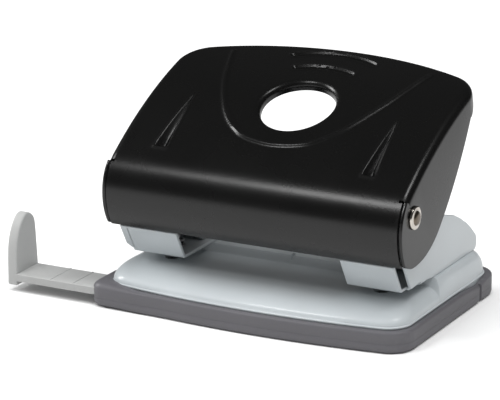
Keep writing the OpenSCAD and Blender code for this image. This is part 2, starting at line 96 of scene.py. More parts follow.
class PunchLeverSizes(bpy.types.PropertyGroup):
    """Sizes of the pressed lever"""
    fold_r: length("Side fold", "Outer radius of the folds to the side plates", 3.0)
    corner_r: length("Rear corner", "Plan radius of the rear corners", 14.0)
    rear_bow_r: length("Rear bow", "Plan radius of the rear edge", 128.0)
    heel_r: length("Apron radius", "Radius of the apron below the nose", 21.0)
    nose_r: length("Nose radius", "Radius of the nose bend", 16.0)
    top_r: length("Top radius", "Radius of the curved top, front to rear", 163.0)
    lip: length("Rear lip", "Depth of the turned-down rear lip", 4.4)
    slit: length("Apron slit", "Gap between the apron and a side plate", 0.5)
    opening_r: length("Finger opening", "Inner radius of the finger opening", 13.1)
    flare_r: length("Opening flare", "Radius of the rolled edge of the finger opening", 2.2)
    collar: length("Collar", "Depth of the collar of the finger opening", 3.4)
    rib_h: length("Rib height", "Height of the curved rib round the finger opening", 0.7)
    rib_w: length("Rib width", "Half width of the curved rib", 0.75)
    groove_depth: length("Groove depth", "Depth of the two arc grooves", 0.8)
    groove_w: length("Groove width", "Width of the two arc grooves", 2.5)
    wedge_depth: length("Wedge depth", "Depth of the pressed wedges at the front", 2.7)
    wedge_w: length("Wedge width", "Width of the pressed wedges at the front", 4.8)


class PunchBodySizes(bpy.types.PropertyGroup):
    """Sizes of the base, the heads, the tray and the guide"""
    sheet: length("Sheet", "Thickness of the steel sheet", 1.2)
    hem: length("Rolled rim", "How far a cut sheet edge is rounded", 0.3)
    base_bow: length("Front bow", "How far the front edge bows out at its centre", 5.0)
    base_corner: length("Base corner", "Plan radius of the corners of the base", 9.0)
    rim_h: length("Rim height", "Height at which the base meets the tray", 7.6)
    flare: length("Rim flare", "How far the lower edge of the base flares out", 0.35)
    front_roll: length("Front roll", "Width of the rolled edge at the front", 16.0)
    side_roll: length("Side roll", "Width of the rolled edge at the sides", 6.0)
    shelf_roll: length("Shelf roll", "Width of the rolled edge along the shelf", 2.6)
    rear_roll: length("Rear roll", "Width of the rolled edge at the rear", 8.0)
    stop_margin: length("Stop margin", "Distance from the paper stop to the holes", 12.0)
    pin_r: length("Pin radius", "Radius of the punch pins", 2.75)
    pivot_r: length("Pivot radius", "Radius of the pivot rivets", 2.5)
    ear_round: length("Ear rounding", "Bend radius between a bracket floor and its ear", 1.4)
    tray_round: length("Tray rounding", "Radius of the top edge of the tray", 1.1)
    tray_foot: length("Tray foot", "Radius of the lower edge of the tray", 1.6)
    guide_round: length("Guide rounding", "Radius of the edges of the end stop", 1.0)
    wire_r: length("Spring wire", "Radius of the wire of the return springs", 0.45)


class PunchColours(bpy.types.PropertyGroup):
    """Colours of the paints, plastics and metals"""
    lever: colour("Lever", "Black enamel of the lever", (0.0035, 0.0035, 0.0034))
    base: colour("Base", "Pale blue-grey enamel of the base and heads", (0.53, 0.57, 0.59))
    tray: colour("Tray", "Dark grey plastic of the tray", (0.125, 0.122, 0.134))
    guide: colour("Guide", "Light grey plastic of the paper guide", (0.44, 0.445, 0.44))
    nickel: colour("Nickel", "Warm polished nickel of the pivot rivets", (0.72, 0.67, 0.61))
    # Dark brown of the rivet crowns is painted reflection and shade: it stands in for the dark
    # surroundings mirrored in the domed crown.
    crown: colour("Rivet crown", "Tarnished crown of the rivets", (0.20, 0.165, 0.13))
    zinc: colour("Zinc", "Zinc plated sheet", (0.72, 0.73, 0.74))
    steel: colour("Steel", "Ground tool steel", (0.52, 0.52, 0.52))
    spring: colour("Spring", "Drawn spring wire", (0.42, 0.42, 0.43))
    backdrop: colour("Backdrop", "Floor and surroundings", (0.93, 0.93, 0.93))


def lever_sizes():
    """The lever's sizes in millimetres."""
    return in_mm(bpy.context.scene.punch_lever)


def body_sizes():
    """The other pieces' sizes in millimetres."""
    return in_mm(bpy.context.scene.punch_body)


class Sizes:
    """Plain numbers in millimetres, one for each length of a property group."""


def in_mm(group):
    """The lengths of a property group as plain numbers in millimetres."""
    sizes = Sizes()
    for key in group.__annotations__:
        setattr(sizes, key, getattr(group, key) / MM)
    return sizes


def box_mm(node):
    """Lowest and highest corner of a CAD node, in millimetres."""
    low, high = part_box(node)
    return low / MM, high / MM


def centre_mm(node):
    """Middle of a CAD node's box, in millimetres."""
    low, high = box_mm(node)
    return (low + high) / 2


def pivot_mm():
    """Where the axis of the lever lies, in millimetres."""
    joint = next(j for j in frame["joints"] if j["name"] == "lever_pivot")
    return Vector(joint["pos_m"]) / MM


# ---------------------------------------------------------------- outlines, in millimetres

def arc(centre, radius, start, end, steps):
    """Points along an arc, with its angles in degrees."""
    turns = np.radians(np.linspace(start, end, steps + 1))
    return [(centre[0] + radius * math.cos(t), centre[1] + radius * math.sin(t)) for t in turns]


def circle(radius, sides):
    """Points round a circle about the origin."""
    return arc((0, 0), radius, 0, 360 - 360 / sides, sides - 1)


def rounded(points, radii, steps=6):
    """A closed outline with each corner rounded by its own radius."""
    made = []
    count = len(points)
    for i, radius in enumerate(radii):
        corner = Vector(points[i])
        before = Vector(points[i - 1]) - corner
        after = Vector(points[(i + 1) % count]) - corner
        reach = radius / math.tan(before.angle(after) / 2) if radius else 0.0
        reach = min(reach, before.length * 0.49, after.length * 0.49)
        start = corner + before.normalized() * reach
        end = corner + after.normalized() * reach
        if reach < 0.01:
            made.append(tuple(corner))
            continue
        for k in range(steps + 1):
            t = k / steps
            made.append(tuple(start * (1 - t) ** 2 + corner * 2 * t * (1 - t) + end * t * t))
    return made


def spline(points, steps=12):
    """A smooth curve through the points."""
    made = []
    ends = [points[0], *points, points[-1]]
    for i in range(len(points) - 1):
        a, b, c, d = (np.array(p, float) for p in ends[i:i + 4])
        for t in np.linspace(0, 1, steps, endpoint=False):
            made.append(0.5 * (2 * b + (c - a) * t + (2 * a - 5 * b + 4 * c - d) * t ** 2
                               + (3 * b - a - 3 * c + d) * t ** 3))
    made.append(np.array(points[-1], float))
    return np.array(made)


def footprint(half, front, rear, bow, corner):
    """Plan outline with a bowed front and four round corners, as groups of points."""
    big = (half ** 2 + bow ** 2) / (2 * bow)
    cy = front + big - math.sqrt((big - corner) ** 2 - (half - corner) ** 2)
    phi = math.degrees(math.atan2(front + big - cy, half - corner))
    x = half - corner
    return {
        "bow": arc((0, front + big), big, phi - 180, -phi, 24)[1:-1],
        "front_right": arc((x, cy), corner, -phi, 0, 9),
        "rear_right": arc((x, rear - corner), corner, 0, 90, 9),
        "rear_left": arc((-x, rear - corner), corner, 90, 180, 9),
        "front_left": arc((-x, cy), corner, 180, 180 + phi, 9),
    }


def around(groups):
    """The groups of a footprint as one closed outline."""
    order = ("front_left", "bow", "front_right", "rear_right", "rear_left")
    return [point for name in order for point in groups[name]]


def steps_between(marks, counts):
    """Values that run through the marks, with a number of even steps between each two."""
    made = [marks[0]]
    for low, high, count in zip(marks, marks[1:], counts):
        made += list(np.linspace(low, high, count + 1)[1:])
    return made


# ---------------------------------------------------------------- meshes, in millimetres

def span(bm, rows, closed=False):
    """Fills in between neighbouring rows of vertices; closed rows also join end to start."""
    count = len(rows[0])
    for low, high in zip(rows, rows[1:]):
        for i in range(count if closed else count - 1):
            j = (i + 1) % count
            bm.faces.new((low[i], low[j], high[j], high[i]))


def loft(rings):
    """A closed solid through rings of equal length, with a flat face at each end."""
    bm = bmesh.new()
    rows = [[bm.verts.new(p) for p in ring] for ring in rings]
    span(bm, rows, closed=True)
    bm.faces.new(rows[0][::-1])
    bm.faces.new(rows[-1])
    return bm


def turned(profile, centre, axis, sides=48):
    """A solid turned about an axis through centre; profile gives distance along it and radius."""
    turn = Vector((0, 0, 1)).rotation_difference(Vector(axis)).to_matrix()
    rings = []
    for along, radius in profile:
        rings.append([Vector(centre) + turn @ Vector((x, y, along))
                      for x, y in circle(radius, sides)])
    return loft(rings)


def pin_hole(side, low, high):
    """A cutter for the hole of one punch pin, from a low to a high Z."""
    pin = centre_mm("right_die")
    radius = body_sizes().pin_r + PIN_PLAY
    return turned([(low, radius), (high, radius)], (side * pin.x, pin.y, 0), (0, 0, 1))


def block(low, high):
    """A plain box, used to cut with or to build on."""
    corners = [(low[0], low[1]), (high[0], low[1]), (high[0], high[1]), (low[0], high[1])]
    return loft([[(*c, low[2]) for c in corners], [(*c, high[2]) for c in corners]])


def slab(outline, x0, x1):
    """A plate whose outline is drawn in Y and Z and which runs from x0 to x1."""
    return loft([[(x, *p) for p in outline] for x in (x0, x1)])


def soften(bm, width, segments=3, limit=40):
    """Rounds every edge sharper than the limit."""
    bm.normal_update()
    sharp = [e for e in bm.edges
             if len(e.link_faces) == 2 and e.calc_face_angle(0) > math.radians(limit)]
    bmesh.ops.bevel(bm, geom=sharp, offset=width, segments=segments, profile=0.5,
                    affect="EDGES", clamp_overlap=True)
    return bm


def inner_face(bm, thickness):
    """Lays a second face under an open sheet; gives the rim and the vertex under each vertex."""
    faces = list(bm.faces)
    rim = [e for e in bm.edges if len(e.link_faces) == 1]
    inner = {v: bm.verts.new(v.co - v.normal * thickness) for v in list(bm.verts)}
    for face in faces:
        bm.faces.new([inner[v] for v in reversed(face.verts)])
    return rim, inner


def thicken(bm, thickness, hem):
    """Gives an open sheet its thickness, away from its normals, with round cut edges."""
    bmesh.ops.recalc_face_normals(bm, faces=bm.faces)
    bm.normal_update()
    rim, inner = inner_face(bm, thickness)
    out = {}
    for edge in rim:
        face = edge.link_faces[0]
        a, b = edge.verts
        along = (b.co - a.co).normalized()
        side = along.cross(face.normal)
        if side.dot(face.calc_center_median() - a.co) > 0:
            side = -side
        for v in edge.verts:
            out[v] = out.get(v, Vector()) + side
    middle = {v: bm.verts.new(v.co - v.normal * thickness / 2 + way.normalized() * hem)
              for v, way in out.items()}
    for edge in rim:
        a, b = edge.verts
        bm.faces.new((a, b, middle[b], middle[a]))
        bm.faces.new((middle[a], middle[b], inner[b], inner[a]))
    bmesh.ops.recalc_face_normals(bm, faces=bm.faces)
    return bm


def joined(*parts):
    """Several meshes as one, without changing any of them."""
    whole = bmesh.new()
    for part in parts:
        mesh = bpy.data.meshes.new("part")
        part.to_mesh(mesh)
        part.free()
        whole.from_mesh(mesh)
        bpy.data.meshes.remove(mesh)
    return whole


def carve(bm, cutters, operation="DIFFERENCE"):
    """Cuts the cutters out of a solid, or adds them to it."""
    bodies = []
    for part in (bm, *cutters):
        bmesh.ops.recalc_face_normals(part, faces=part.faces)
        mesh = bpy.data.meshes.new("carve")
        part.to_mesh(mesh)
        part.free()
        bodies.append(bpy.data.objects.new("carve", mesh))
        bpy.context.scene.collection.objects.link(bodies[-1])
    for cutter in bodies[1:]:
        step = bodies[0].modifiers.new("carve", "BOOLEAN")
        step.operation = operation
        step.object = cutter
        step.solver = "EXACT"
    graph = bpy.context.evaluated_depsgraph_get()
    made = bmesh.new()
    made.from_mesh(bodies[0].evaluated_get(graph).to_mesh())
    for body in bodies:
        mesh = body.data
        bpy.data.objects.remove(body)
        bpy.data.meshes.remove(mesh)
    if not made.faces:
        raise RuntimeError("a cut left nothing of its piece")
    return made


def mirrored(bm):
    """The same shape on the other side of the punch."""
    bmesh.ops.transform(bm, matrix=Matrix.Scale(-1, 4, (1, 0, 0)), verts=bm.verts)
    bmesh.ops.reverse_faces(bm, faces=bm.faces)
    return bm


def shade(mesh_bm, sharp):
    """Smooth shading, with a crease at every edge sharper than the limit."""
    mesh_bm.normal_update()
    for edge in mesh_bm.edges:
        open_edge = len(edge.link_faces) != 2
        edge.smooth = not open_edge and edge.calc_face_angle(0) < math.radians(sharp)
    for face in mesh_bm.faces:
        face.smooth = True


def piece_of(name, bm, finish, sharp=38):
    """A new object in metres from a mesh in millimetres."""
    bmesh.ops.recalc_face_normals(bm, faces=bm.faces)
    shade(bm, sharp)
    bmesh.ops.transform(bm, matrix=Matrix.Scale(MM, 4), verts=bm.verts)
    mesh = bpy.data.meshes.new(name)
    bm.to_mesh(mesh)
    bm.free()
    mesh.materials.append(finish)
    piece = bpy.data.objects.new(name, mesh)
    bpy.context.scene.collection.objects.link(piece)
    return piece


# ---------------------------------------------------------------- finishes

class Nodes:
    """Adds and links the nodes of one tree."""

    def __init__(self, tree):
        self.tree = tree
        tree.nodes.clear()

    def add(self, kind, group=None, **settings):
        node = self.tree.nodes.new(kind)
        if group is not None:
            node.node_tree = group
        for key, value in settings.items():
            setattr(node, key, value)
        return node

    def feed(self, socket, value):
        """Links a socket to another, or sets it to a plain value."""
        if isinstance(value, bpy.types.NodeSocket):
            self.tree.links.new(value, socket)
        else:
            socket.default_value = value

    def maths(self, operation, a, b, clamp=False):
        node = self.add("ShaderNodeMath", operation=operation, use_clamp=clamp)
        self.feed(node.inputs[0], a)
        self.feed(node.inputs[1], b)
        return node.outputs[0]

    def ramp(self, value, low, high, to_low=0.0, to_high=1.0):
        node = self.add("ShaderNodeMapRange", clamp=True)
        for key, given in (("Value", value), ("From Min", low), ("From Max", high),
                           ("To Min", to_low), ("To Max", to_high)):
            self.feed(node.inputs[key], given)
        return node.outputs["Result"]

    def mix(self, factor, a, b):
        node = self.add("ShaderNodeMix", data_type="RGBA")
        self.feed(node.inputs["Factor"], factor)
        self.feed(node.inputs[6], a)
        self.feed(node.inputs[7], b)
        return node.outputs[2]

    def noise(self, scale, detail, stretch=(1, 1, 1)):
        place = self.add("ShaderNodeTexCoord")
        sized = self.add("ShaderNodeMapping")
        sized.inputs["Scale"].default_value = stretch
        self.feed(sized.inputs["Vector"], place.outputs["Object"])
        node = self.add("ShaderNodeTexNoise")
        node.inputs["Detail"].default_value = detail
        self.feed(node.inputs["Vector"], sized.outputs["Vector"])
        self.feed(node.inputs["Scale"], scale)
        return node.outputs["Fac"]


def group_tree(name, inputs, outputs):
    """A new node group with named number sockets; gives its nodes, group input and output."""
    tree = bpy.data.node_groups.new(name, "ShaderNodeTree")
    nodes = Nodes(tree)
    for label, default in inputs:
        socket = tree.interface.new_socket(label, in_out="INPUT", socket_type="NodeSocketFloat")
        socket.default_value = default
    for label in outputs:
        tree.interface.new_socket(label, in_out="OUTPUT", socket_type="NodeSocketFloat")
    return nodes, nodes.add("NodeGroupInput"), nodes.add("NodeGroupOutput")


def shared(name, make):
    """A node group by name, made the first time it is asked for."""
    return bpy.data.node_groups.get(name) or make()


def grain_group():
    """Fine surface grain and slow blotches, for paint and moulded plastic."""
    nodes, given, result = group_tree(
        "surface_grain", [("Scale", 1500.0), ("Blotch Scale", 40.0)], ["Height", "Blotch"])
    fine = nodes.noise(given.outputs["Scale"], detail=3.0)
    coarse = nodes.noise(nodes.maths("MULTIPLY", given.outputs["Scale"], 0.31), detail=1.0)
    height = nodes.maths("ADD", nodes.maths("MULTIPLY", fine, 0.6),
                         nodes.maths("MULTIPLY", coarse, 0.4))
    nodes.feed(result.inputs["Height"], height)
    blotch = nodes.noise(given.outputs["Blotch Scale"], detail=4.0)
    nodes.feed(result.inputs["Blotch"], nodes.ramp(blotch, 0.3, 0.7))
    return nodes.tree


def wear_group():
    """A mask that is strongest on the edges of a piece and broken up along them."""
    nodes, given, result = group_tree("edge_wear", [("Breakup", 700.0), ("Amount", 1.0)], ["Mask"])
    place = nodes.add("ShaderNodeNewGeometry")
    edge = nodes.ramp(place.outputs["Pointiness"], 0.515, 0.60)
    patches = nodes.ramp(nodes.noise(given.outputs["Breakup"], detail=4.0), 0.42, 0.62)
    mask = nodes.maths("MULTIPLY", nodes.maths("MULTIPLY", edge, patches),
                       given.outputs["Amount"], clamp=True)
    nodes.feed(result.inputs["Mask"], mask)
    return nodes.tree


def brushed_group():
    """Long fine scratches along one axis, for ground and plated metal."""
    nodes, given, result = group_tree("brushed", [("Scale", 900.0)], ["Height", "Streaks"])
    lines = nodes.noise(given.outputs["Scale"], detail=2.0, stretch=(1.0, 0.06, 1.0))
    fine = nodes.noise(given.outputs["Scale"], detail=5.0)
    nodes.feed(result.inputs["Height"], nodes.maths("ADD", lines,
                                                    nodes.maths("MULTIPLY", fine, 0.25)))
    nodes.feed(result.inputs["Streaks"], nodes.ramp(lines, 0.3, 0.7))
    return nodes.tree


def new_finish(name):
    """An empty material, its nodes, its shader and its output."""
    finish = bpy.data.materials.new(name)
    finish.use_nodes = True
    nodes = Nodes(finish.node_tree)
    shader = nodes.add("ShaderNodeBsdfPrincipled")
    output = nodes.add("ShaderNodeOutputMaterial")
    nodes.feed(output.inputs["Surface"], shader.outputs["BSDF"])
    return finish, nodes, shader


def bumped(nodes, shader, height, strength, distance_mm):
    """Feeds a height to the shader as fine bump."""
    bump = nodes.add("ShaderNodeBump")
    bump.inputs["Strength"].default_value = strength
    bump.inputs["Distance"].default_value = distance_mm * MM
    nodes.feed(bump.inputs["Height"], height)
    nodes.feed(shader.inputs["Normal"], bump.outputs["Normal"])


def coated(name, tint, edge_tint, rough, grain_scale, grain, wear, coat=0.0, specular=0.5):
    """Paint or plastic with fine grain, slow gloss changes and lighter worn edges."""
    finish, nodes, shader = new_finish(name)
    surface = nodes.add("ShaderNodeGroup", group=shared("surface_grain", grain_group))
    surface.inputs["Scale"].default_value = grain_scale
    edges = nodes.add("ShaderNodeGroup", group=shared("edge_wear", wear_group))
    edges.inputs["Amount"].default_value = wear
    blotch = surface.outputs["Blotch"]
    darker = tuple(c * 0.93 for c in tint)
    body = nodes.mix(blotch, (*darker, 1), (*tint, 1))
    nodes.feed(shader.inputs["Base Color"], nodes.mix(edges.outputs["Mask"], body,
                                                      (*edge_tint, 1)))
    nodes.feed(shader.inputs["Roughness"], nodes.ramp(blotch, 0, 1, rough * 0.92, rough * 1.08))
    shader.inputs["Specular IOR Level"].default_value = specular
    shader.inputs["Coat Weight"].default_value = coat
    shader.inputs["Coat Roughness"].default_value = 0.12
    bumped(nodes, shader, surface.outputs["Height"], grain, 0.05)
    return finish


def metal(name, tint, rough, scale, grain):
    """Bare or plated metal with fine scratches."""
    finish, nodes, shader = new_finish(name)
    surface = nodes.add("ShaderNodeGroup", group=shared("brushed", brushed_group))
    surface.inputs["Scale"].default_value = scale
    streaks = surface.outputs["Streaks"]
    darker = tuple(c * 0.82 for c in tint)
    nodes.feed(shader.inputs["Base Color"], nodes.mix(streaks, (*darker, 1), (*tint, 1)))
    nodes.feed(shader.inputs["Roughness"], nodes.ramp(streaks, 0, 1, rough * 1.25, rough * 0.85))
    shader.inputs["Metallic"].default_value = 1.0
    bumped(nodes, shader, surface.outputs["Height"], grain, 0.02)
    return finish


def finish_of(slot):
    """The finish of a material slot, made the first time it is asked for."""
    name = f"{slot}_finish"
    known = bpy.data.materials.get(name)
    if known:
        return known
    tints = bpy.context.scene.punch_colours
    makers = {
        "lever_enamel": lambda: coated(
            name, tints.lever, (0.03, 0.03, 0.031), 0.27, 1700, 0.45, specular=0.5, wear=0.3),
        "base_enamel": lambda: coated(
            name, tints.base, (0.56, 0.59, 0.61), 0.38, 900, 0.06, coat=0.45, specular=0.4, wear=0.4),
        "tray_plastic": lambda: coated(
            name, tints.tray, (0.19, 0.19, 0.20), 0.46, 1700, 0.2, wear=0.5),
        "guide_plastic": lambda: coated(
            name, tints.guide, (0.60, 0.61, 0.61), 0.42, 1500, 0.12, wear=0.4),
        "nickel": lambda: metal(name, tints.nickel, 0.2, 900, 0.12),
        # Rivet crowns: dark brown metal painted to stand in for the dark reflection and shade on the
        # domed crown.
        "rivet_crown_painted_reflection": lambda: metal(name, tints.crown, 0.3, 900, 0.15),
        "zinc_plate": lambda: metal(name, tints.zinc, 0.45, 700, 0.15),
        "tool_steel": lambda: metal(name, tints.steel, 0.28, 900, 0.25),
        "spring_steel": lambda: metal(name, tints.spring, 0.3, 1200, 0.3),
    }
    return makers[slot]()


def place(piece, body, slot, node):
    """Puts a finished piece on its body, in place of its CAD node."""
    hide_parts(node)
    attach(piece, body)
    return piece


def fitted(name, bm, slot, body, node, sharp):
    """A mesh as a finished piece on its body, in place of its CAD node."""
    return place(piece_of(name, bm, finish_of(slot), sharp), body, slot, node)


# ---------------------------------------------------------------- lever

class LeverSkin:
    """Outer face of the lever laid flat: x across it, s along its front-to-rear line."""

    def __init__(self, sizes):
        low, high = box_mm("lever")
        self.sizes = sizes
        self.pivot = pivot_mm()
        self.half = high.x
        self.rear = high.y
        self.corner_y = (high.y - sizes.rear_bow_r
                         + math.sqrt((sizes.rear_bow_r - sizes.corner_r) ** 2
                                     - (high.x - sizes.corner_r) ** 2))
        lead = self.pivot.y - low.y
        drop = self.pivot.z - low.z
        bend_z = -4.2
        slope = math.radians(35.2)
        nose = np.array([sizes.nose_r - lead, bend_z])
        top = nose + (sizes.top_r - sizes.nose_r) * np.array([math.sin(slope), -math.cos(slope)])
        apron = 16.0
        heel_turn = math.pi + math.asin((min(apron, drop) + bend_z) / sizes.heel_r)
        self.centres = np.array([[sizes.heel_r - lead, bend_z], nose, top])
        self.radii = np.array([sizes.heel_r, sizes.nose_r, sizes.top_r])
        self.starts = np.array([heel_turn, math.pi, math.pi / 2 + slope])
        first = sizes.heel_r * (heel_turn - math.pi)
        second = first + sizes.nose_r * (math.pi / 2 - slope)
        self.begins = np.array([0.0, first, second])

    def at(self, s):
        """Centre, radius and angle of the arc that s falls on."""
        s = np.asarray(s, float)
        k = np.clip(np.searchsorted(self.begins, s, side="right") - 1, 0, 2)
        return self.centres[k], self.radii[k], self.starts[k] - (s - self.begins[k]) / self.radii[k]

    def point(self, x, s, depth=0.0):
        """A place on the outer face, or a depth below it."""
        centre, radius, turn = self.at(s)
        y = self.pivot.y + centre[..., 0] + (radius - depth) * np.cos(turn)
        z = self.pivot.z + centre[..., 1] + (radius - depth) * np.sin(turn)
        return np.stack(np.broadcast_arrays(x, y, z), -1)

    def s_of(self, y):
        """Where along the top a distance to the rear lies."""
        across = (np.asarray(y, float) - self.pivot.y - self.centres[2][0]) / self.radii[2]
        return self.begins[2] + self.radii[2] * (self.starts[2] - np.arccos(across))

    def s_nose(self, y, z):
        """Where along the nose a place in Y and Z lies."""
        turn = math.atan2(z - self.pivot.z - self.centres[1][1],
                          y - self.pivot.y - self.centres[1][0])
        return self.begins[1] + self.radii[1] * (self.starts[1] - turn)


# Line of the rib round the finger opening, from its front to its rear end
RIB = [(-9.9, -18.5), (0.0, -19.8), (9.9, -18.5), (15.6, -15.8), (21.8, -10.4), (26.5, -3.6),
       (31.2, 5.2), (34.3, 13.5), (38.0, 25.0)]
# Arc grooves behind the finger opening: Y of the centre of the arc, its radius and half length
GROOVES = [(0.3, 31.2, 15.1), (-5.4, 26.8, 10.4)]
# Front and tip of a pressed wedge, as X and Y
WEDGE_FRONT = (39.0, -26.2)
WEDGE_TIP = (38.7, -2.4)


def eased(value):
    """A smooth step from 0 to 1."""
    t = np.clip(value, 0, 1)
    return t * t * (3 - 2 * t)


def pressed(skin, x, s):
    """How far the rib stands out and the grooves and wedges are pressed in, at each place."""
    sizes = skin.sizes
    x, s = np.broadcast_arrays(np.abs(np.asarray(x, float)), np.asarray(s, float))
    y = skin.point(x, s)[..., 1]
    on_top = s > skin.begins[2]

    line = spline(RIB)
    line[:, 1] = skin.s_of(line[:, 1])
    away = np.full(x.shape, 99.0)
    for (ax, at), (bx, bt) in zip(line, line[1:]):
        dx, dt = bx - ax, bt - at
        share = np.clip(((x - ax) * dx + (s - at) * dt) / (dx * dx + dt * dt), 0, 1)
        away = np.minimum(away, np.hypot(x - ax - dx * share, s - at - dt * share))
    height = np.where(on_top, sizes.rib_h * np.exp(-(away / sizes.rib_w) ** 2), 0.0)

    for centre, radius, half in GROOVES:
        turn = math.asin(half / radius)
        at = np.arctan2(x, y - centre)
        beyond = np.hypot(x - half, y - centre - radius * math.cos(turn))
        off = np.where(at < turn, np.abs(np.hypot(x, y - centre) - radius), beyond)
        beside = off - sizes.groove_w / 2
        press = sizes.groove_depth * eased(0.5 - beside / 0.6)
        lip = 0.14 * np.exp(-((beside - 0.55) / 0.45) ** 2)
        height += np.where(on_top, lip - press, 0.0)

    run = (y - WEDGE_FRONT[1]) / (WEDGE_TIP[1] - WEDGE_FRONT[1])
    along = np.clip(run, 0, 1)
    middle = WEDGE_FRONT[0] + (WEDGE_TIP[0] - WEDGE_FRONT[0]) * along
    half = sizes.wedge_w / 2 * (1 - along) + 0.25 * along
    beside = np.abs(x - middle) - half
    wall = np.clip(-beside / np.minimum(2.0, half), 0, 1) ** 0.9
    front = eased((y - WEDGE_FRONT[1]) / 1.2)
    deep = sizes.wedge_depth * (1 - along) ** 1.15 + 0.3 * along
    height -= np.where((run > 0) & (run < 1), deep * wall * front, 0.0)
    over = np.hypot(np.maximum(beside, 0), np.maximum(WEDGE_FRONT[1] - y, 0))
    over = np.hypot(over, np.maximum(y - WEDGE_TIP[1], 0))
    bead = 0.22 * np.exp(-((over - 0.35) / 0.4) ** 2) * (1 - 0.6 * along)
    height += np.where((over > 0) & (y > WEDGE_FRONT[1] - 3) & (y < WEDGE_TIP[1] + 2), bead, 0.0)
    return height


def lever_grid(bm, skin, xs, rows, corner_rows):
    """The face of the lever inside its folds; gives the vertex grid and its flat places."""
    sizes = skin.sizes
    fold = sizes.fold_r
    radius = sizes.corner_r
    big = sizes.rear_bow_r
    half = skin.half
    cy = skin.corner_y
    phi = math.degrees(math.atan2(cy - skin.rear + big, half - radius))
    mid = 35.0
    inner = radius - fold
    side = arc((half - radius, cy), inner, 0, mid, corner_rows)
    corner = arc((half - radius, cy), inner, mid, phi, 16)
    bow = arc((0, skin.rear - big), big - fold, phi, 180 - phi, 60)
    rear = np.array([(-x, y) for x, y in corner] + bow[::-1][1:-1] + corner[::-1])
    reach = np.concatenate([[0], np.cumsum(np.hypot(*np.diff(rear, axis=0).T))])
    share = (np.array(xs) / xs[-1] + 1) / 2
    rear_x = np.interp(share * reach[-1], reach, rear[:, 0])
    rear_s = skin.s_of(np.interp(share * reach[-1], reach, rear[:, 1]))

    flat = [[(x, s) for x in xs] for s in rows]
    for k in range(1, corner_rows + 1):
        w = k / corner_rows
        side_x, side_s = side[k][0], float(skin.s_of(side[k][1]))
        line = []
        for i, p in enumerate(share):
            bottom = np.array([xs[i], rows[-1]])
            top = np.array([rear_x[i], rear_s[i]])
            ends = (1 - p) * np.array([-side_x, side_s]) + p * np.array([side_x, side_s])
            low = (1 - p) * np.array([xs[0], rows[-1]]) + p * np.array([xs[-1], rows[-1]])
            high = (1 - p) * np.array([rear_x[0], rear_s[0]]) + p * np.array([rear_x[-1],
                                                                            rear_s[-1]])
            line.append((1 - w) * bottom + w * top + ends - (1 - w) * low - w * high)
        flat.append([tuple(v) for v in line])
    places = np.array(flat)
    height = pressed(skin, places[..., 0], places[..., 1])
    solid = skin.point(places[..., 0], places[..., 1], -height)
    grid = [[bm.verts.new(p) for p in row] for row in solid]
    return grid, places


def finger_opening(bm, skin, grid, places, columns, lines):
    """Leaves out a square of the face and fills it with a flared, collared round opening."""
    sizes = skin.sizes
    (c0, c1), (r0, r1) = columns, lines
    loop = ([(r0, c) for c in range(c0, c1)] + [(r, c1) for r in range(r0, r1)]
            + [(r1, c) for c in range(c1, c0, -1)] + [(r, c0) for r in range(r1, r0, -1)])
    middle = (places[r0, c0] + places[r1, c1]) / 2
    outer = np.array([places[r, c] for r, c in loop])
    turns = np.arctan2(outer[:, 1] - middle[1], outer[:, 0] - middle[0])
    way = np.stack([np.cos(turns), np.sin(turns)], -1)
    flare = sizes.opening_r + sizes.flare_r
    circle = middle + way * flare
    before = [grid[r][c] for r, c in loop]

    def next_ring(spots, depth):
        nonlocal before
        after = [bm.verts.new(p) for p in skin.point(spots[:, 0], spots[:, 1], depth)]
        span(bm, [before, after], closed=True)
        before = after

    for t in np.linspace(0, 1, 10)[1:]:
        spots = outer * (1 - t) + circle * t
        next_ring(spots, -pressed(skin, spots[:, 0], spots[:, 1]))
    for turn in np.radians(np.linspace(0, 90, 8)[1:]):
        radius = flare - sizes.flare_r * math.sin(turn)
        next_ring(middle + way * radius, sizes.flare_r * (1 - math.cos(turn)))
    for depth in np.linspace(sizes.flare_r, sizes.collar, 3)[1:]:
        next_ring(middle + way * sizes.opening_r, depth)


def side_plate_lines(skin):
    """Arcs of the lower edge of a side plate, about the pivot: centre, radius and end angles."""
    low, _ = box_mm("lever")
    radius = 28.8
    back = 127.0
    turn = 43.4
    centre = np.array([0.9, low.z - skin.pivot.z + radius])
    lean = math.radians(turn)
    back_centre = centre + (radius - back) * np.array([math.sin(lean), -math.cos(lean)])
    return centre, radius, back_centre, back, turn


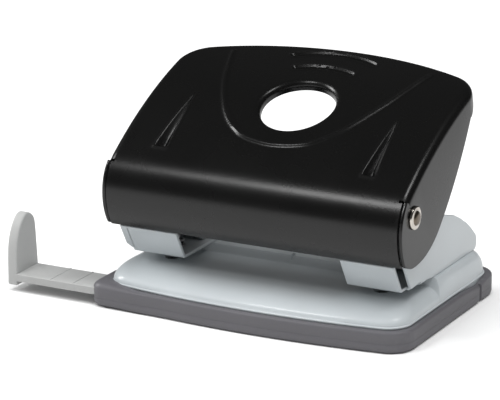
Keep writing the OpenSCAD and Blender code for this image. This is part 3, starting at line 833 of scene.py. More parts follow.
def lever_sides(bm, skin, grid, places, first):
    """The folds round the face, the side plates and the rear lip."""
    sizes = skin.sizes
    cy = skin.corner_y
    last = len(grid) - 1
    edge = len(grid[0]) - 1
    right = [(r, edge) for r in range(first, last + 1)]
    rear = [(last, c) for c in range(edge - 1, 0, -1)]
    left = [(r, 0) for r in range(last, first - 1, -1)]
    stations = right + rear + left
    spots = np.array([places[r, c] for r, c in stations])
    flat = skin.point(spots[:, 0], spots[:, 1])[:, :2]
    ways = []
    bow_y = skin.rear - sizes.rear_bow_r
    inner_x = skin.half - sizes.corner_r
    for x, y in flat:
        corner = np.array([math.copysign(inner_x, x), cy])
        if y <= cy + 0.01:
            way = np.array([math.copysign(1, x), 0])
        else:
            way = np.array([x, y]) - corner
            if (abs(x) - inner_x) * (cy - bow_y) < (y - cy) * inner_x:
                way = np.array([x, y - bow_y])
            way = way / np.hypot(*way)
        ways.append(way)
    ways = np.array(ways)

    rings = [[grid[r][c] for r, c in stations]]
    for turn in np.radians(np.linspace(0, 90, 8)[1:]):
        shifted = spots + ways * sizes.fold_r * math.sin(turn)
        depth = sizes.fold_r * (1 - math.cos(turn))
        rings.append([bm.verts.new(p) for p in skin.point(shifted[:, 0], shifted[:, 1], depth)])

    # skirt of the rear lip and the corners, which deepens towards the side plates
    centre, radius, back_centre, back, turn = side_plate_lines(skin)
    shifted = spots + ways * sizes.fold_r

    def depth_to_back(s):
        """Depth at which the line square to the face meets the rear edge of a side plate."""
        for depth in np.arange(sizes.fold_r, 60, 0.05):
            y, z = skin.point(0.0, s, depth)[1:] - np.array([skin.pivot.y, skin.pivot.z])
            if math.hypot(y - back_centre[0], z - back_centre[1]) > back:
                return depth
        return 60.0

    plate_end = max(i for i, (r, c) in enumerate(right) if flat[i, 1] <= cy + 0.01)
    deep = depth_to_back(shifted[plate_end, 1])
    shelf = 7.0
    fall = eased((flat[:, 1] - cy) / shelf)
    depths = deep * (1 - fall) + sizes.lip * fall
    count = len(stations)
    skirt = range(plate_end, count - plate_end)
    levels = 6
    columns = {i: [rings[-1][i]] for i in skirt}
    for k in range(1, levels + 1):
        for i in skirt:
            depth = sizes.fold_r + (depths[i] - sizes.fold_r) * k / levels
            columns[i].append(bm.verts.new(skin.point(shifted[i, 0], shifted[i, 1], depth)))
    for i, j in zip(skirt, list(skirt)[1:]):
        for k in range(levels):
            bm.faces.new((columns[i][k], columns[j][k], columns[j][k + 1], columns[i][k + 1]))
    span(bm, rings)

    # outline of a side plate below its fold, from the lip round to the front of the fold
    y, z = skin.point(0.0, shifted[plate_end, 1], deep)[1:]
    start = math.degrees(math.atan2(z - skin.pivot.z - back_centre[1],
                                    y - skin.pivot.y - back_centre[0]))
    lower = arc(back_centre, back, start, turn - 90, 16)[1:] + arc(centre, radius, turn - 90,
                                                                   -93, 22)[1:]
    lower = [(skin.pivot.y + p[0], skin.pivot.z + p[1]) for p in lower]
    front_s = np.linspace(0.6, places[first, 0, 1] - 0.5, 26)
    lower += [tuple(skin.point(0.0, s, 0.35)[1:]) for s in front_s]
    lower += [tuple(skin.point(0.0, front_s[-1] + 0.2, d)[1:]) for d in (1.0, 2.0, 2.8)]
    left_order = range(count - 1, count - plate_end - 2, -1)
    for side, order in ((1, range(plate_end + 1)), (-1, left_order)):
        top = [rings[-1][i] for i in order]
        end = columns[plate_end if side > 0 else count - 1 - plate_end][1:]
        rest = [bm.verts.new((side * skin.half, *p)) for p in lower]
        bm.faces.new(top + end + rest)


def apron_edges(bm, skin, grid, places, last_row):
    """The strips of the apron beside the grid, up to the slits."""
    sizes = skin.sizes
    half = skin.half - body_sizes().sheet - sizes.slit
    for side, column in ((1, len(grid[0]) - 1), (-1, 0)):
        before = None
        for r in range(last_row + 1):
            edge = bm.verts.new(skin.point(side * half, places[r, column, 1]))
            if before:
                bm.faces.new((grid[r - 1][column], before, edge, grid[r][column]))
            before = edge


def lever_mesh():
    """The pressed lever as one sheet of even thickness."""
    sizes = lever_sizes()
    body = body_sizes()
    skin = LeverSkin(sizes)
    bm = bmesh.new()
    face = skin.half - sizes.fold_r
    square = 16.0
    square_columns = 36
    slit_end = (-32.8, 51.9)
    opening_behind_pins = 15.7
    pins = abs(centre_mm("right_die").x)
    half_xs = steps_between([0, square, pins - 4.3, pins + 2.3, face],
                            [square_columns, 38, 21, 9])
    xs = [-x for x in reversed(half_xs[1:])] + half_xs
    relief = skin.s_nose(*slit_end)
    middle = float(skin.s_of(centre_mm("right_die").y + opening_behind_pins))
    wedge = float(skin.s_of(WEDGE_FRONT[1]))
    marks = [0, relief, wedge - 0.6, wedge + 2.2, middle - square, middle + square,
             float(skin.s_of(skin.corner_y))]
    counts = [24, 9, 11, 30, 40, 2]
    rows = steps_between(marks, counts)
    grid, places = lever_grid(bm, skin, xs, rows, 54)
    first = counts[0]
    r0 = sum(counts[:4])
    lines = (r0, r0 + counts[4])
    centre_column = len(half_xs) - 1
    columns = (centre_column - square_columns, centre_column + square_columns)
    for r in range(len(grid) - 1):
        for c in range(len(xs) - 1):
            if lines[0] <= r < lines[1] and columns[0] <= c < columns[1]:
                continue
            bm.faces.new((grid[r][c], grid[r][c + 1], grid[r + 1][c + 1], grid[r + 1][c]))
    finger_opening(bm, skin, grid, places, columns, lines)
    inside = [v for row in grid for v in row if not v.link_faces]
    lever_sides(bm, skin, grid, places, first)
    apron_edges(bm, skin, grid, places, first - 1)
    bmesh.ops.delete(bm, geom=[v for v in inside if not v.link_faces], context="VERTS")
    thicken(bm, body.sheet, body.hem)
    end, radius = skin.half + 5, body.pivot_r + PIN_PLAY
    bore = turned([(-end, radius), (end, radius)], skin.pivot * Vector((0, 1, 1)), (1, 0, 0))
    return carve(bm, [bore])


class PUNCH_OT_lever(bpy.types.Operator):
    """Makes the pressed lever with its rib, grooves, wedges and finger opening"""
    bl_idname = "punch.lever"
    bl_label = "Lever"

    def execute(self, context):
        fitted("lever_shell", lever_mesh(), "lever_enamel", "lever", "lever", sharp=50)
        return {"FINISHED"}


# ---------------------------------------------------------------- base

def base_mesh():
    """The pressed base: one skin of columns round the rim, closed by deck, ramp and shelf."""
    sizes = body_sizes()
    low, high = box_mm("base_plate")
    half, front, rear = high.x, low.y, high.y
    die = box_mm("right_die")
    deck = die[1].z + sizes.sheet
    pin = centre_mm("right_die")
    stop = pin.y + sizes.stop_margin
    guide_rear = box_mm("paper_guide")[1].y
    relief = guide_rear + 1.1
    steps = 12
    wall = 0.5
    ramp = np.linspace(-wall, wall, 7)
    lead = footprint(half, front, rear, sizes.base_bow, sizes.base_corner)["front_right"][-1][1]
    shares = [(y - lead) / (stop - wall - lead) for y in (relief - 0.2, relief + 0.2)]
    shares += [0.45, 0.7, 0.85]
    side_ys = [None] * len(shares) + [*(stop + ramp), 4.0, 14.0, 24.0]
    blends = [0.0 if y is None else float(eased((y - stop + wall) / (2 * wall)))
              for y in side_ys]

    def levels(top):
        rim = sizes.rim_h
        profile = [(low.z, 0.0), (rim - 0.6, 0.0), (rim, 0.0), (rim + 0.25, 0.0),
                   (rim + 0.45, -sizes.flare), (rim + 0.75, -sizes.flare), (rim + 1.0, 0.0)]
        lift = rim + 1.0
        for k in range(1, steps + 1):
            turn = math.radians(90 * k / steps)
            profile.append((lift + (top - lift) * math.sin(turn), 1 - math.cos(turn)))
        return profile

    def ring(k, top, side_roll):
        z, d = levels(top)[k]
        if d <= 0:
            return footprint(half - d, front + d, rear - d, sizes.base_bow,
                             sizes.base_corner), z
        corner = max(sizes.base_corner - side_roll * d / 2, 1)
        return footprint(half - side_roll * d, front + sizes.front_roll * d,
                         rear - sizes.rear_roll * d, sizes.base_bow, corner), z

    count = len(levels(deck))
    bm = bmesh.new()
    deck_rings = [ring(k, deck, sizes.side_roll) for k in range(count)]
    shelf_rings = [ring(k, high.z, sizes.shelf_roll) for k in range(count)]

    def lowest(z, y):
        """The skirt ends at the rim where the paper guide passes under it."""
        return max(z, sizes.rim_h - 0.1) if y < relief else z

    def column_of(rings, group, i):
        made = []
        for shape, z in rings:
            x, y = shape[group][i]
            made.append(bm.verts.new((x, y, lowest(z, y))))
        return made

    def side_column(sign, y, k, share):
        made = []
        for (shape, z), (shelf_shape, shelf_z) in zip(deck_rings, shelf_rings):
            x = shape["front_right"][-1][0] * (1 - k) + shelf_shape["front_right"][-1][0] * k
            start = shape["front_right"][-1][1]
            at = start * (1 - share) + (stop - wall) * share if y is None else y
            made.append(bm.verts.new((sign * x, at, lowest(z * (1 - k) + shelf_z * k, at))))
        return made

    order = []
    for group in ("front_left", "bow", "front_right"):
        for i in range(len(deck_rings[0][0][group])):
            order.append((column_of(deck_rings, group, i), 0.0))
    front_count = len(order)
    shares += [0.0] * (len(side_ys) - len(shares))
    right = [(side_column(1, y, k, f), k) for y, k, f in zip(side_ys, blends, shares)]
    order += right
    for group in ("rear_right", "rear_left"):
        for i in range(len(shelf_rings[0][0][group])):
            order.append((column_of(shelf_rings, group, i), 1.0))
    left = [(side_column(-1, y, k, f), k) for y, k, f in zip(side_ys, blends, shares)]
    order += left[::-1]
    columns = [column for column, _ in order]
    for a, b in zip(columns, columns[1:] + columns[:1]):
        for k in range(count - 1):
            if (a[k].co - a[k + 1].co).length < 1e-5 and (b[k].co - b[k + 1].co).length < 1e-5:
                continue
            bm.faces.new((a[k], b[k], b[k + 1], a[k + 1]))
    deck_loop = left[::-1] + order[:front_count] + right
    bm.faces.new([column[-1] for column, k in deck_loop if k <= 0])
    bm.faces.new([c[-1] for c, k in order if k >= 1])
    for (ra, ka), (rb, kb), (la, _), (lb, _) in zip(right, right[1:], left, left[1:]):
        if kb > 0 and ka < 1:
            bm.faces.new((ra[-1], rb[-1], lb[-1], la[-1]))
    bmesh.ops.remove_doubles(bm, verts=bm.verts, dist=0.001)
    thicken(bm, sizes.sheet, sizes.hem * 0.6)
    cutters = [pin_hole(side, -5, 30) for side in (-1, 1)]
    notch = [(-1.1, high.z + 1), (0, deck + 0.9), (1.1, high.z + 1)]
    cutters.append(loft([[(x, y, z) for x, z in notch] for y in (stop - 2, stop + 2.6)]))
    return carve(bm, cutters)


class PUNCH_OT_base(bpy.types.Operator):
    """Makes the rolled steel base with its deck, paper stop and shelf"""
    bl_idname = "punch.base"
    bl_label = "Base"

    def execute(self, context):
        fitted("base_shell", base_mesh(), "base_enamel", "base", "base_plate", sharp=45)
        return {"FINISHED"}


# ---------------------------------------------------------------- punching heads

def bent_strip(line, x0, x1):
    """A bent sheet whose outer line is drawn in Y and Z and which runs from x0 to x1."""
    columns = 8
    bm = bmesh.new()
    xs = np.linspace(x0, x1, columns + 1)
    span(bm, [[bm.verts.new((x, *p)) for x in xs] for p in line])
    return bm


def ear_outline(pivot, shelf, stop, fold_y, rear):
    """Outline of a bracket ear in Y and Z, with its corner radii."""
    boss = 6.3
    panel = 9.6
    toe = (fold_y + 2.8, shelf + 0.9)
    points = [
        (toe[0], toe[1], 1.2), (fold_y + 9.9, shelf + 1.4, 3.0), (stop - 3.2, shelf + 0.5, 2.0),
        (stop, shelf, 1.0), (rear - 1.2, shelf, 1.2), (rear, shelf + 1.2, 1.2),
        (rear, shelf + 4.8, 2.5), (rear - 4.2, shelf + 8.4, 6.0),
        (rear - 8.1, shelf + 11.3, 7.0), (rear - 14.4, shelf + 14.9, 8.0),
        (rear - 19.5, shelf + 17.3, 8.0), (stop + 8.3, shelf + 19.9, 6.0),
        (stop - 3.7, shelf + 24.5, 8.0),
    ]
    crown = [(pivot.y + boss * math.cos(t), pivot.z + boss * math.sin(t), 0.0)
             for t in np.radians(np.linspace(55, 190, 15))]
    shin = [(pivot.y - 3.6, pivot.z - 12.5, 4.0),
            (toe[0] - panel * math.sin(PANEL_LEAN), toe[1] + panel * math.cos(PANEL_LEAN), 3.0)]
    points += crown + shin
    return rounded([p[:2] for p in points], [p[2] for p in points])


def panel_end(fold_y, shelf, rise, x0, x1):
    """Outer end of the left front panel, with its lower corner cut off."""
    overlap = 1.0
    cut = [(x0 - overlap, 2.4), (x0, 1.2), (x1, 3.3)]
    outline = [*cut, (x1, rise), (x0 - overlap, rise)]
    rings = []
    for depth in (0.0, body_sizes().sheet):
        rings.append([(x, fold_y - along * math.sin(PANEL_LEAN) + depth * math.cos(PANEL_LEAN),
                       shelf + along * math.cos(PANEL_LEAN) + depth * math.sin(PANEL_LEAN))
                      for x, along in outline])
    return soften(loft(rings), 0.25, segments=3)


def bracket_mesh(side):
    """A punching head: leaning front panel, floor, side ear and the bend between them."""
    sizes = body_sizes()
    low, high = box_mm("right_bracket")
    pin = centre_mm("right_die")
    stop = pin.y + sizes.stop_margin
    shelf = low.z
    pivot = pivot_mm()
    fold_y = pin.y - 8.1
    floor_rear = high.y - 8.0
    rise = 10.4 / math.cos(PANEL_LEAN)
    panel_right = high.x - sizes.sheet - 1.3
    bend = 1.6
    top = (fold_y - rise * math.sin(PANEL_LEAN), shelf + rise * math.cos(PANEL_LEAN))
    line = rounded([top, (fold_y, shelf), (floor_rear, shelf), (floor_rear, shelf - 9)],
                   [0, bend, 0, 0], steps=8)[:-1]
    panel = bent_strip(line, low.x, panel_right)
    thicken_sheet(panel, sizes, inside=(0, 1, 1))

    floor = bent_strip([(fold_y + 4.0, shelf), (floor_rear, shelf)], panel_right - 1.0,
                       high.x - sizes.ear_round)
    thicken_sheet(floor, sizes, inside=(0, 0, 1))

    outline = ear_outline(pivot, shelf, stop, fold_y, high.y)
    ear = slab(outline, high.x - sizes.sheet, high.x)
    soften(ear, 0.3, segments=3, limit=60)

    strip = bmesh.new()
    turns = np.radians(np.linspace(-90, 0, 7))
    ys = np.linspace(fold_y + 10.5, floor_rear, 5)
    rows = []
    radius = sizes.ear_round
    for y in ys:
        rows.append([strip.verts.new((high.x - radius + radius * math.cos(t), y,
                                      shelf + radius + radius * math.sin(t))) for t in turns])
    for a, b in zip(rows, rows[1:]):
        for k in range(len(turns) - 1):
            strip.faces.new((a[k], b[k], b[k + 1], a[k + 1]))
    thicken_sheet(strip, sizes, inside=(-1, 0, 1))

    parts = [panel, floor, ear, strip]
    if side < 0:
        parts.append(panel_end(fold_y, shelf, rise, panel_right, high.x - 0.3))
    bm = joined(*parts)
    cutters = [
        pin_hole(1, -2, 30),
        turned([(-9, sizes.pivot_r + PIVOT_PLAY), (9, sizes.pivot_r + PIVOT_PLAY)],
               (high.x, pivot.y, pivot.z), (1, 0, 0)),
    ]
    bm = carve(bm, cutters)
    return bm if side > 0 else mirrored(bm)


def thicken_sheet(bm, sizes, inside):
    """Thickens an open sheet towards the given side."""
    bmesh.ops.recalc_face_normals(bm, faces=bm.faces)
    bm.normal_update()
    lean = sum((f.normal for f in bm.faces), Vector())
    if lean.dot(Vector(inside)) > 0:
        bmesh.ops.reverse_faces(bm, faces=bm.faces)
    bm.normal_update()
    rim, inner = inner_face(bm, sizes.sheet)
    for edge in rim:
        a, b = edge.verts
        bm.faces.new((a, b, inner[b], inner[a]))
    bmesh.ops.recalc_face_normals(bm, faces=bm.faces)
    soften(bm, 0.28, segments=3, limit=60)
    return bm


def rivet_mesh(side):
    """Pivot rivet: a flat head with a crowned stub outside, a plain head inside."""
    low, high = box_mm("right_pivot_rivet")
    pivot = pivot_mm()
    reach = high.x - low.x
    shank = body_sizes().pivot_r
    head = (high.z - low.z) / 2
    face = reach - 0.8
    profile = [
        (0, 0.4), (0, head - 0.35), (0.12, head - 0.1), (0.35, head), (0.8, head),
        (1.0, head - 0.15), (1.0, shank), (face - 0.9, shank), (face - 0.9, head - 0.2),
        (face - 0.75, head), (face - 0.35, head), (face - 0.12, head - 0.15), (face, head - 0.5),
        (face, 2.5), (face + 0.1, 2.35), (face + 0.35, 2.2), (face + 0.58, 1.85),
        (face + 0.72, 1.3), (face + 0.79, 0.7), (face + 0.8, 0.2),
    ]
    bm = turned(profile, (low.x, pivot.y, pivot.z), (1, 0, 0), sides=64)
    return bm if side > 0 else mirrored(bm)


def guide_post_mesh(side):
    """Upper pin guide: a foot, a riser and an arm that holds the pin upright."""
    sizes = body_sizes()
    low, high = box_mm("right_pin_guide")
    pin = centre_mm("right_die")
    riser = pin.y + sizes.stop_margin - 3.0
    sheet = sizes.sheet
    line = rounded([(low.y, high.z), (riser + sheet, high.z), (riser + sheet, low.z + sheet),
                    (high.y, low.z + sheet), (high.y, low.z - 9)], [0, 1.9, 0.8, 0, 0], steps=6)
    bm = bent_strip(line[:-1], low.x, high.x)
    thicken_sheet(bm, sizes, inside=(0, -1, -1))
    rivet_y = pin.y + sizes.stop_margin + 5.0
    cutters = [
        pin_hole(1, 20, 60),
        turned([(0, 1.63), (22, 1.63)], (pin.x, rivet_y, 0), (0, 0, 1)),
    ]
    bm = carve(bm, cutters)
    return bm if side > 0 else mirrored(bm)


def spring_mesh(side):
    """Return spring: a round wire with closed end turns."""
    sizes = body_sizes()
    low, high = box_mm("right_return_spring")
    centre = (low + high) / 2
    wire = sizes.wire_r
    mean = (high.x - low.x) / 2 - wire
    turns, per_turn, sides = 7.5, 28, 12
    steps = int(turns * per_turn)
    rings = []
    for i in range(steps + 1):
        t = i / steps
        angle = 2 * math.pi * turns * t
        rise = eased(np.array((t - 0.09) / 0.82)) * 0.35 + np.clip((t - 0.09) / 0.82, 0, 1) * 0.65
        z = low.z + wire + (high.z - low.z - 2 * wire) * (0.05 * t + 0.95 * float(rise))
        out = Vector((math.cos(angle), math.sin(angle), 0))
        at = Vector((centre.x, centre.y, z)) + out * mean
        rings.append([at + out * a + Vector((0, 0, b)) for a, b in circle(wire, sides)])
    bm = loft(rings)
    return bm if side > 0 else mirrored(bm)


class PUNCH_OT_heads(bpy.types.Operator):
    """Makes the two folded brackets, the pin guides, the pivot rivets and the return springs"""
    bl_idname = "punch.heads"
    bl_label = "Punching heads"

    def execute(self, context):
        for side, word in ((-1, "left"), (1, "right")):
            fitted(f"{word}_bracket_shell", bracket_mesh(side), "base_enamel", "base",
                   f"{word}_bracket", sharp=45)
            fitted(f"{word}_pin_guide_shell", guide_post_mesh(side), "zinc_plate", "base",
                   f"{word}_pin_guide", sharp=45)
            rivet = piece_of(f"{word}_pivot_rivet_turned", rivet_mesh(side), finish_of("nickel"))
            # Faces of the domed crown take the dark brown painted reflection and shade.
            rivet.data.materials.append(finish_of("rivet_crown_painted_reflection"))
            crown = (box_mm("right_pivot_rivet")[1].x - 0.78) * MM
            for face in rivet.data.polygons:
                if abs(face.center.x) > crown:
                    face.material_index = 1
            place(rivet, "base", "nickel", f"{word}_pivot_rivet")
            spring = fitted(f"{word}_return_spring_coil", spring_mesh(side), "spring_steel",
                            "base", f"{word}_return_spring", sharp=80)
            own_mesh(spring)
        return {"FINISHED"}


class PUNCH_OT_hardware(bpy.types.Operator):
    """Gives the pins, dies, washers, rings and rivets their metal finishes and soft edges"""
    bl_idname = "punch.hardware"
    bl_label = "Pins, dies and fasteners"

    def execute(self, context):
        small = {
            "tool_steel": ["left_die", "right_die", "left_punch_pin", "right_punch_pin"],
            "zinc_plate": ["left_pivot_washer", "right_pivot_washer", "left_spring_washer",
                           "right_spring_washer", "bracket_rivets"],
            "spring_steel": ["left_retaining_ring", "right_retaining_ring"],
        }
        for slot, names in small.items():
            for name in names:
                node = frame["nodes"][name]
                node.data.materials.clear()
                node.data.materials.append(finish_of(slot))
                edge = node.modifiers.new("soft_edge", "BEVEL")
                edge.width = 0.12 * MM
                edge.segments = 2
                edge.limit_method = "ANGLE"
                edge.angle_limit = math.radians(50)
        return {"FINISHED"}


# ---------------------------------------------------------------- tray and guide

def tray_outline():
    """Plan of the tray wall, counted round from the left, with the guide housing in it."""
    sizes = body_sizes()
    low, high = box_mm("chip_tray")
    guide_low, guide_high = box_mm("paper_guide")
    half = high.x
    shape = footprint(half, low.y, high.y, sizes.base_bow, sizes.base_corner)
    corner = 5.0
    front = guide_low.y - 1.6
    swell = [(-half, guide_high.y + 8.5), (-half - 0.4, guide_high.y + 6.2),
             (low.x + 0.4, guide_high.y + 2.4), (low.x, guide_high.y + 0.2)]
    swell = [tuple(p) for p in spline(swell, 5)]
    nose = arc((low.x + corner, front + corner), corner, 180, 270, 10)
    bow = [p for p in shape["bow"] if p[0] > -31]
    join = [(-48, front - 0.06), (-42, front - 0.14), (-36, front - 0.22)]
    right = [(half, y) for y in (-20, -10, 0, 10, 18, 22, 24, 25)]
    left = [(-half, y) for y in (25, 24, 22, 18, 10, 0, -8)]
    return [*swell, *nose, *join, *bow, *shape["front_right"], *right, *shape["rear_right"],
            *shape["rear_left"], *left]


def inset_ring(outline, inset, z):
    """A closed outline drawn in by an inset, at one height or at heights by place."""
    count = len(outline)
    made = []
    for i, (x, y) in enumerate(outline):
        before, after = outline[i - 1], outline[(i + 1) % count]
        way = Vector((after[0] - before[0], after[1] - before[1])).normalized()
        drawn = inset(x, y) if callable(inset) else inset
        height = z(x, y) if callable(z) else z
        made.append((x - way.y * drawn, y + way.x * drawn, height))
    return made


def drawn_to(outline, loop):
    """For each point of an outline, the nearest point of an inner loop."""
    ends = np.array(loop)
    starts = np.roll(ends, 1, axis=0)
    along = ends - starts
    made = []
    for point in np.array(outline):
        share = ((point - starts) * along).sum(1) / np.maximum((along ** 2).sum(1), 1e-12)
        spots = starts + along * np.clip(share, 0, 1)[:, None]
        made.append(tuple(spots[np.argmin(np.hypot(*(spots - point).T))]))
    return made


def tray_mesh():
    """The chip tray: wall, rim, seat for the base and chip well as one closed skin."""
    sizes = body_sizes()
    high = box_mm("chip_tray")[1]
    base_low, base_high = box_mm("base_plate")
    guide_low, guide_high = box_mm("paper_guide")
    half = high.x
    gap = 0.3
    seat_z = base_low.z
    floor = 1.6
    tab_y = high.y - 16.0
    soft = sizes.tray_round
    foot = sizes.tray_foot
    bridge = (high.z - sizes.rim_h) / 2

    def over_guide(x, y):
        return float(eased((-42 - x) / 11) * eased((guide_high.y + 6.2 - y) / 5.0))

    def roundness(x, y):
        """Rounding of the rim, which is fuller over the guide."""
        return soft + 1.5 * over_guide(x, y)

    def top(share):
        """Height of the rim: it dips before the pull edge and rises over the guide."""
        def height(x, y):
            dip = 1.1 * float(eased((y - tab_y + 14) / 12)) * (y < tab_y + 1)
            rise = 0.3 * float(eased((y - tab_y) / 3)) + bridge * over_guide(x, y)
            return sizes.rim_h - dip + rise - share * roundness(x, y)
        return height

    def drawn_in(share):
        return lambda x, y: share * roundness(x, y)

    def foot_in(share):
        return lambda x, y: share * (foot + 1.2 * over_guide(x, y))

    plan = tray_outline()
    quarter = np.radians(np.linspace(0, 90, 7))
    rings = [inset_ring(plan, foot_in(1 - math.sin(t)), foot_in(1 - math.cos(t)))
             for t in quarter]
    rings += [inset_ring(plan, inset, z)
              for inset, z in ((0, 3.2), (0.06, 3.3), (0.06, 3.4), (0, 3.5))]
    rings += [inset_ring(plan, drawn_in(1 - math.cos(t)), top(1 - math.sin(t)))
              for t in quarter]
    rim = top(0)
    seat = around(footprint(base_high.x + gap, base_low.y - gap, base_high.y + 0.8,
                            sizes.base_bow, sizes.base_corner + gap))
    chips = around(footprint(base_high.x - 2.7, guide_high.y + 1.7, base_high.y - 2.7, 0.8, 6.5))
    wall = drawn_to(plan, seat)
    well = drawn_to(wall, chips)
    rings.append([(*inner, rim(*outer)) for inner, outer in zip(wall, plan)])
    rings += [[(*p, seat_z) for p in wall], [(*p, seat_z) for p in well],
              [(*p, floor) for p in well]]
    body = loft(rings)
    bmesh.ops.remove_doubles(body, verts=body.verts, dist=0.002)

    channel = block((-half - 20, guide_low.y - gap, CHANNEL_FLOOR),
                    (-half + 12, guide_high.y + gap, STRIP_LOW + STRIP_THICK + gap))
    grooves = []
    for side in (-1, 1):
        across = [(1.0, -0.3), (0.2, -0.1), (-0.3, 0.2), (-1.1, 0.5), (-1.25, 0.95), (-1.1, 1.4),
                  (-0.3, 1.7), (0.2, 2.0), (1.0, 2.2)]
        grooves.append(loft([[(side * (half + a), tab_y - b, z) for a, b in across]
                             for z in (-1, 20)]))
    return carve(body, [channel, *grooves])


def channel_floor_mesh():
    """Raised floor in the tray that the paper guide slides on."""
    guide_low, guide_high = box_mm("paper_guide")
    high = box_mm("chip_tray")[1]
    bm = block((-high.x + 3.5, guide_low.y - 0.1, 1.2), (high.x - 19, guide_high.y + 1.4, 3.42))
    return soften(bm, 0.3)


class PUNCH_OT_tray(bpy.types.Operator):
    """Makes the chip tray with its guide housing, seat and pull edge"""
    bl_idname = "punch.tray"
    bl_label = "Chip tray"

    def execute(self, context):
        tray = joined(tray_mesh(), channel_floor_mesh())
        fitted("chip_tray_shell", tray, "tray_plastic", "tray", "chip_tray", sharp=35)
        return {"FINISHED"}


def guide_mesh():
    """The paper guide: a flat strip with two ticks and an upright end stop."""
    sizes = body_sizes()
    low, high = box_mm("paper_guide")
    strip_high = STRIP_LOW + STRIP_THICK
    thick = 3.8
    strip = block((low.x + 1, low.y + 0.02, STRIP_LOW), (high.x, high.y - 0.02, strip_high))
    soften(strip, 0.5, segments=3)
    ticks = []
    for x in (low.x + 17.0, low.x + 26.0):
        tick = block((x, low.y + 0.3, strip_high - 0.3), (x + 0.5, high.y - 0.3,
                                                         strip_high + 0.22))
        ticks.append(soften(tick, 0.15, segments=2))

    y0, y1 = low.y, high.y
    tip = high.z
    side_line = [(0.0, 3.4), (0.0, 9.4), (0.6, 15.3), (2.3, 19.9), (4.5, 23.0), (6.6, 24.6),
                 (9.0, 24.75), (11.6, 23.2), (13.1, 20.5), (13.9, 13.0), (14.6, 5.2)]
    curve = [(y0 + y, low.z + z) for y, z in spline(side_line, 5)]
    top = max(z for _, z in curve)
    curve = [(y, low.z + (z - low.z) * (tip - low.z) / (top - low.z)) for y, z in curve]
    heel = rounded([(y1, low.z + 4), (y1 - 0.3, low.z), (y0, low.z), (y0, low.z + 2)],
                   [0, 1.0, 1.0, 0], steps=5)
    outline = curve + heel[1:-1]
    fin = slab(outline, low.x, low.x + thick)
    soften(fin, sizes.guide_round, segments=5, limit=60)
    return carve(fin, [strip, *ticks], "UNION")


class PUNCH_OT_guide(bpy.types.Operator):
    """Makes the sliding paper guide with its upright end stop"""
    bl_idname = "punch.guide"
    bl_label = "Paper guide"

    def execute(self, context):
        fitted("paper_guide_shell", guide_mesh(), "guide_plastic", "guide", "paper_guide",
               sharp=35)
        return {"FINISHED"}


# ---------------------------------------------------------------- stage

# Place of the camera: degrees round and above the punch, then metres
CAMERA_TURN = 27.56
CAMERA_RISE = 16.66
CAMERA_REACH = 0.9577
CAMERA_AIM = (0.0, -0.0354, 0.0451)
# Strength of the white surroundings for the camera, soft light and reflections
SURROUND = (1.0, 0.44, 0.05)
# Share of the floor's brightness that its bounced light keeps
FLOOR_BOUNCE = 0.78


def towards(turn, rise):
    """Unit direction to a point seen at a turn round the object and a rise above it."""
    a, e = math.radians(turn), math.radians(rise)
    return Vector((math.sin(a) * math.cos(e), -math.cos(a) * math.cos(e), math.sin(e)))


def aimed(thing, aim):
    """Turns a lamp or camera to a place and puts it in the scene."""
    thing.rotation_euler = (Vector(aim) - thing.location).to_track_quat("-Z", "Y").to_euler()
    bpy.context.scene.collection.objects.link(thing)
    return thing


def softbox(name, turn, rise, reach, size, power):
    """A large soft lamp that faces the punch."""
    lamp = bpy.data.lights.new(name, "AREA")
    lamp.shape = "RECTANGLE"
    lamp.size, lamp.size_y = size
    lamp.energy = power
    thing = bpy.data.objects.new(name, lamp)
    thing.location = Vector(CAMERA_AIM) + towards(turn, rise) * reach
    return aimed(thing, CAMERA_AIM)


def surroundings():
    """Even white to the camera, soft light on the punch, and dim in its reflections."""
    world = bpy.data.worlds.new("studio")
    bpy.context.scene.world = world
    world.use_nodes = True
    nodes = Nodes(world.node_tree)
    path = nodes.add("ShaderNodeLightPath")
    lights = []
    for strength in SURROUND:
        light = nodes.add("ShaderNodeBackground")
        light.inputs["Strength"].default_value = strength
        light.inputs["Color"].default_value = (1, 1, 1, 1)
        lights.append(light)
    gloss = nodes.add("ShaderNodeMixShader")
    nodes.feed(gloss.inputs[0], path.outputs["Is Glossy Ray"])
    nodes.feed(gloss.inputs[1], lights[1].outputs[0])
    nodes.feed(gloss.inputs[2], lights[2].outputs[0])
    seen = nodes.add("ShaderNodeMixShader")
    nodes.feed(seen.inputs[0], path.outputs["Is Camera Ray"])
    nodes.feed(seen.inputs[1], gloss.outputs[0])
    nodes.feed(seen.inputs[2], lights[0].outputs[0])
    output = nodes.add("ShaderNodeOutputWorld")
    nodes.feed(output.inputs["Surface"], seen.outputs[0])


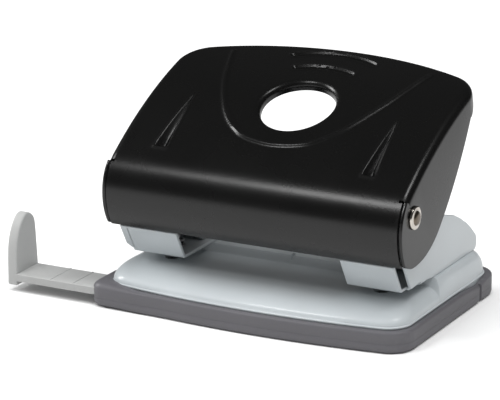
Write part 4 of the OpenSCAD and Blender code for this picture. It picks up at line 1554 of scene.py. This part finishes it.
class PUNCH_OT_stage(bpy.types.Operator):
    """Sets the pale floor, the soft lamps and the camera"""
    bl_idname = "punch.stage"
    bl_label = "Stage"

    def execute(self, context):
        scene = context.scene
        scene.view_settings.view_transform = "Standard"
        floor, nodes, shader = new_finish("pale_floor")
        path = nodes.add("ShaderNodeLightPath")
        seen = tuple(scene.punch_colours.backdrop)
        dimmed = tuple(c * FLOOR_BOUNCE for c in seen)
        nodes.feed(shader.inputs["Base Color"],
                   nodes.mix(path.outputs["Is Camera Ray"], (*dimmed, 1), (*seen, 1)))
        shader.inputs["Roughness"].default_value = 0.8
        shader.inputs["Specular IOR Level"].default_value = 0.1
        plate = piece_of("floor", block((-3000, -3000, -20), (3000, 3000, 0)), floor)
        surroundings()
        softbox("key_lamp", -31, 50, 0.75, (0.2, 0.12), 1.0)
        softbox("left_lamp", -85, 28, 1.3, (0.35, 0.5), 6)
        softbox("right_lamp", 90, 64, 1.3, (0.35, 0.35), 3)
        overhead = softbox("overhead_lamp", 10, 82, 1.5, (1.4, 1.0), 18.5)
        overhead.visible_glossy = False
        lens = bpy.data.cameras.new("studio_camera")
        lens.lens = 207.5
        lens.sensor_width = 36
        camera = bpy.data.objects.new("studio_camera", lens)
        camera.location = Vector(CAMERA_AIM) + towards(CAMERA_TURN, CAMERA_RISE) * CAMERA_REACH
        scene.camera = aimed(camera, CAMERA_AIM)
        return {"FINISHED"}


# ---------------------------------------------------------------- panel and running

OPERATORS = (PUNCH_OT_lever, PUNCH_OT_base, PUNCH_OT_heads, PUNCH_OT_hardware, PUNCH_OT_tray,
             PUNCH_OT_guide, PUNCH_OT_stage)


class PUNCH_PT_panel(bpy.types.Panel):
    """Sizes, colours and build steps of the desk punch"""
    bl_idname = "PUNCH_PT_panel"
    bl_label = "Desk punch"
    bl_space_type = "VIEW_3D"
    bl_region_type = "UI"
    bl_category = "Punch"

    def draw(self, context):
        for name in ("punch_lever", "punch_body", "punch_colours"):
            group = getattr(context.scene, name)
            box = self.layout.box()
            box.label(text=name.replace("_", " ").capitalize())
            for key in group.__annotations__:
                box.prop(group, key)
        for step in OPERATORS:
            self.layout.operator(step.bl_idname)


CLASSES = (PunchLeverSizes, PunchBodySizes, PunchColours, *OPERATORS, PUNCH_PT_panel)
GROUPS = {"punch_lever": PunchLeverSizes, "punch_body": PunchBodySizes,
          "punch_colours": PunchColours}


def register():
    for cls in CLASSES:
        bpy.utils.register_class(cls)
    for name, group in GROUPS.items():
        setattr(bpy.types.Scene, name, bpy.props.PointerProperty(type=group))


def unregister():
    for name in GROUPS:
        delattr(bpy.types.Scene, name)
    for cls in reversed(CLASSES):
        bpy.utils.unregister_class(cls)


def main():
    register()
    for step in OPERATORS:
        group, name = step.bl_idname.split(".")
        getattr(getattr(bpy.ops, group), name)()


if __name__ == "__main__":
    main()
